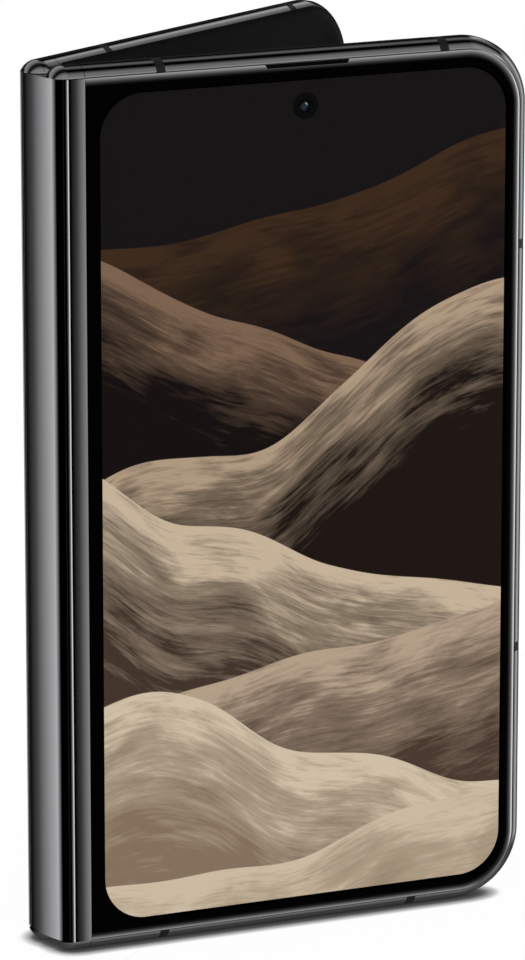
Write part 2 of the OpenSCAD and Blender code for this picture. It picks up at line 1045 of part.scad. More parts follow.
// The tray's face is cut from the round of the free edge
module card_tray() {
    tongue_w = tray_l - 1.4;
    color("#4a4a4c")
        at_rear()
            difference() {
                union() {
                    intersection() {
                        free_edge_pill(tray_z, tray_l - seam, tray_face_w - seam,
                            body_w - rail_w, body_w + 1);
                        translate([body_w - edge_r, edge_r, tray_z - tray_l])
                            cylinder(r = edge_r - 0.02, h = 2 * tray_l);
                    }
                    translate([body_w - tray_d, edge_r - 0.5, tray_z - tongue_w / 2])
                        cube([tray_d - edge_r + 0.5, 1, tongue_w]);
                }
                // Pocket for the card and the eject hole
                translate([body_w - tray_d + 1, edge_r - 1, tray_z - tongue_w / 2 + 1])
                    cube([tray_d - edge_r - 2, 1.3, tongue_w - 2]);
                translate([body_w - rail_w - 1, edge_r, tray_z + tray_l / 2 - 1.8])
                    rotate([0, 90, 0])
                        cylinder(r = 0.4, h = rail_w + 2);
            }
}

module rear_inner_bezel() {
    at_rear()
        difference() {
            inner_bezel();
            translate([body_w - 20, half_t - 2, inner_camera_z])
                rotate([-90, 0, 0])
                    cylinder(r = 1.5, h = 4);
        }
}

module rear_inner_display() {
    at_rear()
        difference() {
            inner_panel();
            translate([body_w - 20, 0, inner_camera_z])
                rotate([-90, 0, 0])
                    cylinder(r = 1.7, h = half_t);
        }
}

module inner_camera() {
    color("#101013")
        at_rear()
            translate([body_w - 20, plate_in, inner_camera_z])
                rotate([-90, 0, 0]) {
                    cylinder(r = 1.3, h = half_t - 0.25 - plate_in);
                    cylinder(r = 1.5, h = inner_v - plate_in);
                }
}

module rear_hinge_arms() {
    at_rear()
        hinge_arms();
}

module rear_hinge_pins() {
    at_spine()
        translate([0, axis_gap, 0])
            hinge_pins();
}

module rear_sync_gears() {
    sync_gear(3, pin_r + eps);
}

module rear_screws() {
    at_rear()
        hinge_screws();
}

// ---- Spine ----

// Section round both hinge axes with a flat back
module spine_section(r) {
    translate([-r, 0])
        square([r, axis_gap]);
    for (y = [0, axis_gap])
        translate([0, y])
            circle(r);
}

module hinge_cover() {
    far = 3 * cover_r;
    wrap = [-far * cos(cover_wrap), far * sin(cover_wrap)];
    color("#4a4a4c")
        at_spine()
            translate([0, 0, cover_z])
                linear_extrude(body_h - 2 * cover_z)
                    difference() {
                        spine_section(cover_r);
                        spine_section(cover_r - cover_wall);
                        polygon([
                            [0, 0],
                            [wrap.x, -wrap.y],
                            [far, -far],
                            [far, axis_gap + far],
                            [wrap.x, axis_gap + wrap.y],
                            [0, axis_gap]
                        ]);
                    }
}

// Plates that close the ends of the hinge cover
module hinge_end_plates() {
    r = cover_r - cover_wall - pack_gap / 2;
    thick = 0.6;
    color("#2c2c2e")
        at_spine()
            for (z = [cover_z + 0.05, body_h - cover_z - 0.05 - thick])
                translate([0, 0, z])
                    linear_extrude(thick) {
                        spine_section(r);
                        translate([-r, 0])
                            square([r + knuckle_r, axis_gap]);
                    }
}

module bracket_wall(z, idlers) {
    translate([0, 0, z])
        linear_extrude(ear_t)
            difference() {
                union() {
                    for (y = [0, axis_gap])
                        translate([0, y])
                            circle(boss_r);
                    translate([-cover_r + cover_wall, 0])
                        square([cover_r - cover_wall + 0.8, axis_gap]);
                }
                for (y = [0, axis_gap])
                    translate([0, y])
                        circle(pin_r + pin_gap);
                if (idlers)
                    for (i = [1, 2])
                        translate([0, i * 2 * gear_r])
                            circle(idler_pin_r + eps);
            }
}

module hinge_brackets() {
    floor_t = cover_r - cover_wall - knuckle_r - pack_gap;
    color("#77777b")
        at_spine()
            for (i = [0 : 2])
                at_hinge_modules([i]) {
                    bracket_wall(0, i != 1);
                    bracket_wall(ear_t + pack_h, i != 1);
                    bracket_wall(module_h - ear_t, false);
                    translate([-cover_r + cover_wall, 0, 0])
                        cube([floor_t, axis_gap, module_h]);
                }
}

module front_idler_gears() {
    sync_gear(1, idler_pin_r + pin_gap);
}

module rear_idler_gears() {
    sync_gear(2, idler_pin_r + pin_gap);
}

module idler_pins() {
    color("#c4c4c8")
        at_spine()
            at_hinge_modules([0, 2])
                for (i = [1, 2])
                    translate([0, i * 2 * gear_r, 0])
                        cylinder(r = idler_pin_r, h = 2 * ear_t + pack_h);
}

// Sprung washers that hold the halves at any angle
module friction_washers() {
    count = 4;
    step = pack_h / count;
    color("#b9a46a")
        at_spine()
            at_hinge_modules([1])
                for (y = [0, axis_gap])
                    for (i = [0 : count - 1])
                        translate([0, y, ear_t + i * step + 0.02])
                            difference() {
                                cylinder(r = knuckle_r - 0.1, h = step - 0.04);
                                translate([0, 0, -1])
                                    cylinder(r = pin_r + pin_gap, h = 3);
                            }
}

// The bend is the flat, open sheet turned back by a share of the opening angle: none
// at the spine's middle, all of it where the sheet meets the half. depth is the
// distance of the sheet's face above the hinge axis.
function fold_point(t, depth) =
    let (
        turn = (90 - spine_turn) * (1 - t),
        along = -(fold_u - edge_r) * (1 - t) + axis_gap / 2 * t
    )
    [
        depth * cos(turn) - along * sin(turn),
        depth * sin(turn) + along * cos(turn)
    ];
function fold_line(depth, t0, steps) = [
    for (i = [0 : steps])
        fold_point(t0 + (1 - t0) * i / steps, depth)
];
function other_side(points) = [
    for (i = [len(points) - 2 : -1 : 0])
        [points[i].x, axis_gap - points[i].y]
];
function backwards(points) = [
    for (i = [len(points) - 1 : -1 : 0])
        points[i]
];

module fold_sheet(face, back, t0, z0, z1) {
    steps = 14;
    upper = fold_line(face, t0, steps);
    lower = fold_line(back, t0, steps);
    translate([0, 0, z0])
        linear_extrude(z1 - z0)
            polygon(concat(
                upper,
                other_side(upper),
                backwards(concat(lower, other_side(lower)))
            ));
}

module fold_display() {
    face = inner_v - edge_r;
    inset = panel_inset + pack_gap;
    color("#0b0b0c")
        at_spine()
            fold_sheet(face, face - fold_t, 0, inset, body_h - inset);
}

module hinge_flex_cables() {
    face = inner_v - edge_r - fold_t - 0.05;
    color("#7a5a2a")
        at_spine()
            for (z = [0.32, 0.68])
                fold_sheet(face, face - 0.12, 0, body_h * z - 4, body_h * z + 4);
}

front_frame();
front_antenna_breaks();
front_spine_strip();
front_spine_caps();
cover_glass();
cover_display();
earpiece_mesh();
front_camera();
front_battery();
front_board();
front_inner_bezel();
front_inner_display();
front_hinge_arms();
front_hinge_pins();
front_sync_gears();
front_screws();
rear_frame();
rear_antenna_breaks();
rear_spine_strip();
rear_spine_caps();
back_glass();
camera_bar();
camera_window();
wide_camera();
ultrawide_camera();
tele_camera();
camera_flash();
main_board();
rear_battery();
wireless_coil();
usb_shell();
usb_tongue();
bottom_speaker();
speaker_mesh();
vibration_motor();
power_button();
volume_key();
button_switches();
card_tray();
rear_inner_bezel();
rear_inner_display();
inner_camera();
rear_hinge_arms();
rear_hinge_pins();
rear_sync_gears();
rear_screws();
hinge_cover();
hinge_end_plates();
hinge_brackets();
front_idler_gears();
rear_idler_gears();
idler_pins();
friction_washers();
fold_display();
hinge_flex_cables();
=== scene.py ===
# %% [markdown]
# # A foldable phone in numpy and Blender
#
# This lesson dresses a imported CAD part: a book-style foldable phone that stands on its
# bottom edge with its two halves part open. The CAD part stays where it is. Every piece
# that shows gets a smooth surface made from a formula, and a node material.
#
# Lengths are millimetres in the formulas and metres in Blender.

import json
import math

import bmesh
import bpy
import numpy as np
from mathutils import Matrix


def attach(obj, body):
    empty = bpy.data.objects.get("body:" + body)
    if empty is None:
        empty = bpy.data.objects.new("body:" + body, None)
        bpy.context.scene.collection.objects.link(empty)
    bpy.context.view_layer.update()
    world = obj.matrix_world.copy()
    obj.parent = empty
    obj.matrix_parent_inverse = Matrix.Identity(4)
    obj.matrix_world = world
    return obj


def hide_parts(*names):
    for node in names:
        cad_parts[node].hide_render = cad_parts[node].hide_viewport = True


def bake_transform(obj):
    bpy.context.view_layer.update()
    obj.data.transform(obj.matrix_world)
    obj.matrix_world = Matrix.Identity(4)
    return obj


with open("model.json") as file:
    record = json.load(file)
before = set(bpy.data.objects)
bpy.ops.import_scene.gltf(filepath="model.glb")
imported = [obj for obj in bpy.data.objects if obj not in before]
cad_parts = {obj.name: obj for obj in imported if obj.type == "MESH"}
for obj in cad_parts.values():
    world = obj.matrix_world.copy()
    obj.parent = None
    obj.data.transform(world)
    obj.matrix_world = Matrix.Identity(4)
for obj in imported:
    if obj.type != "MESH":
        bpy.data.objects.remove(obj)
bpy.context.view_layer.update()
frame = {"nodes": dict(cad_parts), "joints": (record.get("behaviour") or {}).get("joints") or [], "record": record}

# %% [markdown]
# ## Sizes and frames of reference
#
# Each half has its own frame: `u` runs from its spine end to its free edge, `v` from its
# outer face (0) to its inner face, `z` up. The front half stays parallel to the row's X
# axis. The rear half is its mirror image, turned by the fold angle about the rear hinge
# axis. Both hinge axes come from the joints of the CAD part.

# %% Sizes
# Height, width and thickness of a half. Its edge is round, with radius R.
H, W, T = 139.7, 79.5, 5.8
R = T / 2
# Flat cut on the round, metal band seen beside the glass, seam; middle of the round.
FLAT, BAND, SEAM = 0.06, 1.7, 0.08
C = R - FLAT
CORNER = 11.0
# End of the spine strip and the radius of its bow.
STRIP_U = 5.4
BOW = 25.0
# Depth of the display under the glass and width of the glass's curved edge.
GLASS_T, GLASS_EDGE = 0.7, 1.45
# Hinge cover: radius, wall, degrees that it wraps round each axis.
COVER_R, COVER_WALL, COVER_WRAP = 2.4, 0.45, 72.0
# Inner side: depths of the bezel's edge and of the display, border, corner, start of the bend.
BEZEL_V, INNER_V = 4.9, 5.35
INNER_BORDER_H, INNER_BORDER_W, INNER_CORNER = 8.0, 5.2, 2.5
FOLD_U = 9.0
BREAK_W = 1.5
# Camera bar and its window: place, length, height, how far it stands out.
BAR_U, BAR_Z, BAR_L, BAR_H, BAR_OUT = W / 2 + 0.8, H - 23, 64.0, 20.0, 2.2
WINDOW_L, WINDOW_H = 43.0, 14.0
# Plug opening, loudspeaker slot and microphones in the rear half's edge.
USB_U, USB_W, USB_H = 42.0, 8.34, 2.56
SPEAKER_U, SPEAKER_L, SPEAKER_W = 27.0, 11.0, 1.3
BOTTOM_MIC_U, TOP_MIC_U, MIC_D = 52.17, 48.0, 1.1
# Keys and card tray on the free edge, with the gaps round them.
POWER_Z, POWER_L, VOLUME_Z, VOLUME_L, KEY_W, KEY_GAP = 97.5, 14.0, 72.0, 25.0, 2.0, 0.2
TRAY_Z, TRAY_L, TRAY_W, TRAY_GAP = 22.0, 13.92, 2.12, 0.16
# Rail made along with a hole, past each of its ends.
HOLE_REACH = 1.2

cap_r = math.sqrt(R * R - (C - BAND) ** 2)
seam_v = R - cap_r
inset = BAND + SEAM
joints = {j["name"]: j for j in frame["joints"]}
axis_front = np.array(joints["front_hinge"]["pos_m"][:2]) * 1000
axis_rear = np.array(joints["rear_hinge"]["pos_m"][:2]) * 1000
axis_gap = float(np.linalg.norm(axis_rear - axis_front))
half_fold = math.atan2(axis_front[0] - axis_rear[0], axis_rear[1] - axis_front[1])
fold = 2 * half_fold
print(f"hinge axes {axis_gap:.2f} mm apart, halves {math.degrees(fold):.1f} degrees apart")


def turned(x, y, angle):
    """(x, y) turned anticlockwise: (x cos a - y sin a, x sin a + y cos a)."""
    c, s = math.cos(angle), math.sin(angle)
    return x * c - y * s, x * s + y * c


def place(points, where):
    """Points of the front, rear or spine frame in mm, as row points in metres.

    front: X = Af + (u - R, v - R); rear: X = Ar + turn(fold) (u - R, R - v);
    spine: X = Af + turn(fold / 2) (x, y).
    """
    a, b, z = np.moveaxis(np.asarray(points, float), -1, 0)
    if where == "front":
        x, y = axis_front[0] + a - R, axis_front[1] + b - R
    elif where == "rear":
        x, y = turned(a - R, R - b, fold)
        x, y = x + axis_rear[0], y + axis_rear[1]
    else:
        x, y = turned(a, b, half_fold)
        x, y = x + axis_front[0], y + axis_front[1]
    return np.stack([x, y, z], axis=-1) / 1000


# %% [markdown]
# ## From grids to meshes
#
# A surface is an array of shape `(rows, columns, 3)`. `Shell` gathers surfaces and flat
# caps into one mesh, welds what meets, turns the normals outwards and keeps an edge sharp
# where its faces meet at more than 28 degrees.


# %% Mesh tools
class Shell:
    """A mesh put together from grids of points and flat polygons."""

    def __init__(self):
        self.points, self.faces, self.values, self.count = [], [], [], 0

    def grid(self, p, wrap=False, value=0.0):
        """Quads between neighbours of a (rows, columns, 3) grid; wrap closes each row."""
        p = np.asarray(p, float)
        rows, cols = p.shape[:2]
        index = self.count + np.arange(rows * cols).reshape(rows, cols)
        if wrap:
            index = np.concatenate([index, index[:, :1]], axis=1)
        quads = np.stack([index[:-1, :-1], index[1:, :-1], index[1:, 1:], index[:-1, 1:]], -1)
        self.faces += quads.reshape(-1, 4).tolist()
        self._add(p.reshape(-1, 3), np.broadcast_to(value, (rows, cols)).ravel())
        return self

    def cap(self, ring, value=0.0):
        """One flat face across a closed ring of points."""
        ring = np.asarray(ring, float)
        self.faces.append((self.count + np.arange(len(ring))).tolist())
        self._add(ring, np.full(len(ring), float(value)))
        return self

    def _add(self, p, values):
        self.points.append(p)
        self.values.append(values)
        self.count += len(p)

    def build(self, name, where, body, slot, material, nodes=(), sharp=28.0):
        """Makes the object, in metres, riding on its body and standing for its CAD nodes."""
        mesh = bpy.data.meshes.new(name)
        points = place(np.concatenate(self.points), where)
        mesh.from_pydata(points.tolist(), [], self.faces)
        tag = mesh.attributes.new("tag", "FLOAT", "POINT")
        tag.data.foreach_set("value", np.concatenate(self.values).astype(np.float32))
        tidy_mesh(mesh)
        mesh.shade_smooth()
        mesh.set_sharp_from_angle(angle=math.radians(sharp))
        mesh.materials.append(material)
        obj = bpy.data.objects.new(name, mesh)
        bpy.context.scene.collection.objects.link(obj)
        if body:
            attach(obj, body)
        if nodes:
            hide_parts(*nodes)
        return obj


def tidy_mesh(mesh):
    """Welds points closer than 0.0005 mm and turns all normals outwards."""
    work = bmesh.new()
    work.from_mesh(mesh)
    bmesh.ops.remove_doubles(work, verts=work.verts, dist=5e-7)
    bmesh.ops.recalc_face_normals(work, faces=work.faces)
    work.to_mesh(mesh)
    work.free()


def at_depth(line, v):
    """Points (u, v, z) of a line (u, z), at one depth or with one for each point."""
    return np.stack([line[:, 0], np.broadcast_to(v, len(line)), line[:, 1]], -1)


def sweep(section, path, normal, closed=True):
    """A section (a, v) along a path in (u, z): point = path + a normal, at depth v."""
    section, path, normal = (np.asarray(x, float) for x in (section, path, normal))
    uz = path[:, None, :] + section[None, :, :1] * normal[:, None, :]
    v = np.broadcast_to(section[None, :, 1], uz.shape[:2])
    p = np.stack([uz[..., 0], v, uz[..., 1]], axis=-1)
    shell = Shell().grid(p, wrap=closed)
    if closed:
        shell.cap(p[0]).cap(p[-1])
    return shell


def extrude_z(section, z0, z1):
    """A closed section (x, y) between two heights, with both ends."""
    section = np.asarray(section, float)
    rings = [np.column_stack([section, np.full(len(section), z)]) for z in (z0, z1)]
    return Shell().grid(np.stack(rings), wrap=True).cap(rings[0]).cap(rings[1])


def edge_path(s0, s1, start=STRIP_U):
    """Points and inward normals along a half's edge from arc length s0 to s1.

    The edge runs along the top from u = start, round a corner, down the free edge, round
    the other corner and back along the bottom: point = centre - CORNER * normal.
    """
    marks = straight_marks(start)
    arc = marks[2] - marks[1]
    side = marks[3] - marks[2]
    knots = [s0, s1] + [m for m in marks if s0 < m < s1]
    for lo in (marks[1], marks[3]):
        fine = np.linspace(lo, lo + arc, 49)
        knots += [x for x in fine if s0 < x < s1]
    for lo, hi in ((marks[0], marks[1]), (marks[2], marks[3]), (marks[4], marks[5])):
        knots += [x for x in np.linspace(lo, hi, 13) if s0 < x < s1]
    s = np.unique(np.round(knots, 6))
    t1 = np.clip((s - marks[1]) / arc, 0, 1) * math.pi / 2
    t2 = np.clip((s - marks[3]) / arc, 0, 1) * math.pi / 2
    angle = math.pi / 2 - t1 - t2
    n = -np.stack([np.cos(angle), np.sin(angle)], axis=-1)
    u = np.where(s < marks[1], start + s, W - CORNER)
    u = np.where(s > marks[4], W - CORNER - (s - marks[4]), u)
    z = H - CORNER - np.clip(s - marks[2], 0, side)
    return np.stack([u, z], axis=-1) - CORNER * n, n


def straight_marks(start=STRIP_U):
    """Arc lengths where the straights and corners of the edge begin."""
    top, arc, side = W - CORNER - start, math.pi * CORNER / 2, H - 2 * CORNER
    return np.cumsum([0, top, arc, side, arc, top])


MARKS = straight_marks()


def s_top(u):
    """Arc length of a point u along the top rail."""
    return u - STRIP_U


def s_bottom(u):
    """Arc length of a point u along the bottom rail."""
    return MARKS[4] + (W - CORNER - u)


def s_side(z):
    """Arc length of a height z on the free edge."""
    return MARKS[2] + (H - CORNER - z)


def pill(l, w, n=64):
    """Outline of two half circles of width w joined by straights, l long: (n, 2)."""
    t = (np.arange(n) + 0.5) / n * 2 * math.pi
    x = w / 2 * np.cos(t) + np.sign(np.cos(t)) * (l - w) / 2
    return np.stack([x, w / 2 * np.sin(t)], axis=-1)


def pill_rings(l, w, profile, frame3, n=64, caps=(False, True)):
    """Rings of a pill, each drawn in by d and raised by h: profile is a list of (d, h).

    frame3 is (origin, along, across, out) in a half frame.
    """
    o, ex, ey, en = (np.asarray(x, float) for x in frame3)
    rings = []
    for d, h in profile:
        q = pill(l - 2 * d, w - 2 * d, n)
        rings.append(o + q[:, :1] * ex + q[:, 1:] * ey + h * en)
    shell = Shell().grid(np.stack(rings), wrap=True)
    if caps[0]:
        shell.cap(rings[0])
    if caps[1]:
        shell.cap(rings[-1])
    return shell


def face_frame(u, v, z):
    """Directions on the outer face of a half: along u, along z, out."""
    return ((u, v, z), (1, 0, 0), (0, 0, 1), (0, -1, 0))


def fillet(x0, y0, x1, y1, n=6):
    """A quarter-round (x0 + dx sin t, y0 + dy (1 - cos t)), without its first point."""
    t = np.linspace(0, math.pi / 2, n)[1:]
    return [(x0 + (x1 - x0) * math.sin(k), y0 + (y1 - y0) * (1 - math.cos(k))) for k in t]


# %% [markdown]
# ## Materials
#
# All materials are node trees on object coordinates, in metres. One small function adds
# a node and its links. Hex colours are written as they look and turned linear once.


# %% Material tools
def linear(hex_colour):
    """sRGB hex to linear RGBA: c / 12.92 below 0.04045, else ((c + 0.055) / 1.055) ** 2.4."""
    c = [int(hex_colour[i : i + 2], 16) / 255 for i in (1, 3, 5)]
    rgb = (x / 12.92 if x <= 0.04045 else ((x + 0.055) / 1.055) ** 2.4 for x in c)
    return (*rgb, 1.0)


def new_material(name):
    """An empty node material and its tree."""
    material = bpy.data.materials.new(name)
    material.use_nodes = True
    material.node_tree.nodes.clear()
    return material, material.node_tree


def add(tree, kind, values=None, **settings):
    """Adds a node. values maps a socket's name or number to a value or an output."""
    node = tree.nodes.new(kind)
    for key, value in settings.items():
        setattr(node, key, value)
    for key, value in (values or {}).items():
        socket = node.inputs[key]
        if isinstance(value, bpy.types.NodeSocket):
            tree.links.new(value, socket)
        else:
            socket.default_value = value
    return node


def maths(tree, operation, *values):
    """One math node; returns its output."""
    return add(tree, "ShaderNodeMath", dict(enumerate(values)), operation=operation).outputs[0]


def remap(tree, value, low, high, start, end):
    """start + (end - start) (value - low) / (high - low), held between both ends."""
    limits = dict(enumerate((value, low, high, start, end)))
    return add(tree, "ShaderNodeMapRange", limits).outputs[0]


def output(tree, shader):
    """Ends a material with its shader."""
    add(tree, "ShaderNodeOutputMaterial", {0: shader})


def ramp(tree, factor, stops):
    """A colour ramp from (position, grey or colour) stops; returns its colour output."""
    node = add(tree, "ShaderNodeValToRGB", {"Fac": factor})
    elements = node.color_ramp.elements
    while len(elements) < len(stops):
        elements.new(0.5)
    for element, (position, colour) in zip(elements, stops):
        element.position = position
        element.color = colour if isinstance(colour, tuple) else (colour, colour, colour, 1.0)
    return node.outputs["Color"]


def blend_colour(tree, factor, a, b):
    """Mixes two colours; a colour mix has its colours at inputs 6 and 7."""
    return add(tree, "ShaderNodeMix", {0: factor, 6: a, 7: b}, data_type="RGBA").outputs[2]


def principled(name, colour, roughness, metallic=0.0, specular=0.5, vary=0.0, scale=600.0, bump=0.0):
    """A Principled surface whose roughness varies a little with noise on object coordinates."""
    material, tree = new_material(name)
    values = {"Base Color": linear(colour), "Metallic": metallic, "Roughness": roughness}
    shader = add(tree, "ShaderNodeBsdfPrincipled", values)
    if metallic < 0.5:
        shader.inputs["Specular IOR Level"].default_value = specular
    if vary or bump:
        coords = add(tree, "ShaderNodeTexCoord").outputs["Object"]
        noise = add(tree, "ShaderNodeTexNoise", {"Vector": coords, "Scale": scale, "Detail": 4.0})
        if vary:
            low, high = max(0.0, roughness - vary), roughness + vary
            spread = remap(tree, noise.outputs["Fac"], 0.3, 0.7, low, high)
            tree.links.new(spread, shader.inputs["Roughness"])
        if bump:
            relief = {"Height": noise.outputs["Fac"], "Strength": 1.0, "Distance": bump}
            lift = add(tree, "ShaderNodeBump", relief)
            tree.links.new(lift.outputs[0], shader.inputs["Normal"])
    output(tree, shader.outputs[0])
    return material


# Polished steel with a black coating: a grey mirror, a little soft.
metal = principled("polished_black_metal", "#8a8a8c", 0.065, metallic=1.0, vary=0.015, scale=900.0)
# Moulded polyamide of the antenna breaks: matt, nearly black.
antenna = principled("antenna_plastic", "#141415", 0.45, specular=0.2, vary=0.05)
# Textured plastic rim: a matt touch lighter than the display film, which is off and black.
bezel_black = principled(
    "inner_bezel_plastic", "#0c0c0c", 0.4, specular=0.03, vary=0.06, bump=4e-6, scale=4000.0
)
dark_screen = principled("inner_display_film", "#010101", 0.1, specular=0.004, vary=0.02, scale=200.0)
# Painted shade of a small opening, drawn as a flat black disc; woven meshes: black that catches no light.
painted_hole_shade = principled("dark_opening", "#050505", 0.8, specular=0.1)
mesh_dark = principled("mesh_dark", "#040404", 0.6, specular=0.02)
# Machined steel of the hinge and the socket: satin grey.
steel = principled("machined_steel", "#a9a9ab", 0.3, metallic=1.0, vary=0.06, scale=2000.0)
# Polyimide film of flexible cables: amber brown.
flex_film = principled("flex_film", "#7a4a1c", 0.5)
print("basic materials made")

# %% [markdown]
# ## Rounded metal frame
#
# The section of a rail is a circle of radius R whose top is cut to a narrow flat. With
# the angle p from the outward direction, `a = max(0, C - R cos p)`, `v = R - R sin p`. It
# runs from the glass seam round to the inner bezel. Dark antenna breaks cut it.


# %% Rails
def rail_arc(p):
    """(a, v) on the rail's outer round for angles p in radians."""
    p = np.asarray(p, float)
    return np.stack([np.maximum(0, C - R * np.cos(p)), R - R * np.sin(p)], axis=-1)


p_seam = math.asin((R - seam_v) / R)
p_inner = -math.asin((BEZEL_V - R) / R)
# The rail's inner side (a, v), hidden under the glass and the bezel.
INSIDE = [(0.9, BEZEL_V - 0.02), (3.2, BEZEL_V - 0.02), (3.2, 0.8), (BAND, 0.8), (BAND, seam_v + 0.06)]


def rail_section(shrink):
    """The closed section of a rail; shrink draws its round in towards the middle."""
    arc = rail_arc(np.linspace(p_seam - 0.02, p_inner, 60))
    middle = np.array([C, R])
    arc = middle + (arc - middle) * (1 - shrink / R)
    return np.concatenate([arc, np.array(INSIDE)])


def rail_piece(s0, s1, shrink=0.0):
    """A length of rail from arc length s0 to s1."""
    path, normal = edge_path(s0, s1)
    return sweep(rail_section(shrink), path, normal)


def surface_point(s, w):
    """Point on the outer round of a straight rail at arc length s, w mm round from its middle."""
    a, v = np.moveaxis(rail_arc(np.asarray(w) / R), -1, 0)
    on_top, on_side = s <= MARKS[1], (s >= MARKS[2]) & (s <= MARKS[3])
    u = np.where(on_top, STRIP_U + s, np.where(on_side, W - a, W - CORNER - (s - MARKS[4])))
    z = np.where(on_top, H - a, np.where(on_side, H - CORNER - (s - MARKS[2]), a))
    return np.stack([u, v, z], axis=-1)


def inward(s):
    """Inward direction of the straight rail at arc length s."""
    if s <= MARKS[1]:
        return np.array([0.0, 0.0, -1.0])
    return np.array([-1.0, 0.0, 0.0]) if s <= MARKS[3] else np.array([0.0, 0.0, 1.0])


def holed_rail(s_mid, hole_l, hole_w, deep, half_w=1.9):
    """A length of rail with a pill-shaped hole whose edge lies on the round surface."""
    half_s = hole_l / 2 + HOLE_REACH
    p = np.linspace(-half_w / R, p_inner, 16)
    q = np.linspace(p_seam - 0.02, half_w / R, 16)
    section = np.concatenate([rail_arc(p), np.array(INSIDE), rail_arc(q)])
    path, normal = edge_path(s_mid - half_s, s_mid + half_s)
    shell = sweep(section, path, normal, closed=False)
    hole = pill(hole_l, hole_w, 96)
    t = (np.arange(96) + 0.5) / 96 * 2 * math.pi
    frame_line = np.stack(
        [half_s * np.clip(1.4142 * np.cos(t), -1, 1), half_w * np.clip(1.4142 * np.sin(t), -1, 1)], -1
    )
    k = np.linspace(0, 1, 12)[:, None, None]
    flat = hole[None] * (1 - k) + frame_line[None] * k
    surface = surface_point(s_mid + flat[..., 0], flat[..., 1])
    shell.grid(surface, wrap=True)
    lip = np.stack([surface[0], surface[0] + inward(s_mid) * 0.12, surface[0] + inward(s_mid) * deep])
    shell.grid(lip, wrap=True)
    return shell


def joined(shells):
    """Several shells as one."""
    out = Shell()
    for s in shells:
        offset = out.count
        out.faces += [[i + offset for i in f] for f in s.faces]
        out.points += s.points
        out.values += s.values
        out.count += s.count
    return out


# Arc lengths of the antenna breaks, and the rear holes: arc length, length, width, depth.
BREAKS = [s_top(17.8), s_top(64.9), s_side(106.5), s_side(41.1), s_bottom(60.1), s_bottom(17.8)]
REAR_HOLES = [
    (s_top(TOP_MIC_U), MIC_D, MIC_D, 3.0),
    (s_side(POWER_Z), POWER_L + KEY_GAP, KEY_W + KEY_GAP, 3.0),
    (s_side(VOLUME_Z), VOLUME_L + KEY_GAP, KEY_W + KEY_GAP, 3.0),
    (s_side(TRAY_Z), TRAY_L + TRAY_GAP, TRAY_W + TRAY_GAP, 3.0),
    (s_bottom(BOTTOM_MIC_U), MIC_D, MIC_D, 3.0),
    (s_bottom(USB_U), USB_W + 0.8, USB_H + 0.8, 6.2),
    (s_bottom(SPEAKER_U), SPEAKER_L, SPEAKER_W, 3.0),
]


def make_rails(where, body, holes):
    """Metal rails between the breaks and round the holes, and the breaks themselves."""
    cuts = [(b - BREAK_W / 2, b + BREAK_W / 2) for b in BREAKS]
    reach = [(s - (l / 2 + HOLE_REACH), s + (l / 2 + HOLE_REACH)) for s, l, _, _ in holes]
    edges = sorted([(0.0, 0.1)] + cuts + reach + [(MARKS[5] - 0.1, MARKS[5])])
    metal_parts = [rail_piece(a[1], b[0]) for a, b in zip(edges, edges[1:]) if b[0] - a[1] > 0.01]
    metal_parts += [holed_rail(s, l, w, deep) for s, l, w, deep in holes]
    joined(metal_parts).build(f"{where}_rails", where, body, "frame_metal", metal, [f"{where}_frame"])
    plastic = [rail_piece(a, b, shrink=0.015) for a, b in cuts]
    name = f"{where}_antenna_strips"
    joined(plastic).build(name, where, body, "antenna_plastic", antenna, [f"{where}_antenna_breaks"])


make_rails("front", "front_half", [])
make_rails("rear", "rear_half", REAR_HOLES)
print("rails made")

# %% [markdown]
# ## Spine: caps, strips and hinge cover
#
# A cap is the rail's section turned half a turn about the hinge axis, with a straight
# part up to the seam. The strip has a slight bow and a lip with a narrow facet, which
# draws a bright line beside the dark gap. The hinge cover wraps round both axes.


# %% Caps
def make_caps(where, body):
    """Round ends: radius R sin p about the hinge axis at depth a(p) from the end.

    Each ring runs from the seam along the straight part, round the axis and back.
    """
    p = np.linspace(0, p_seam, 34)[:, None]
    a, rho = np.maximum(0, C - R * np.cos(p)), R * np.sin(p)
    turn = np.linspace(0, math.pi, 61)
    straight = np.broadcast_to([STRIP_U, 4.2], (len(p), 2))
    u = np.hstack([straight, R - rho * np.sin(turn), straight[:, ::-1]])
    v = np.hstack([R - rho, R - rho, R - rho * np.cos(turn), R + rho, R + rho])
    parts = []
    for z in (H - a, a):
        rings = np.stack([u, v, np.broadcast_to(z, u.shape)], -1)
        parts.append(Shell().grid(rings).cap(rings[-1]))
        parts.append(Shell().cap(np.concatenate([rings[::-1, 0], rings[1:, -1]])))
    joined(parts).build(f"{where}_caps", where, body, "frame_metal", metal, [f"{where}_spine_caps"])


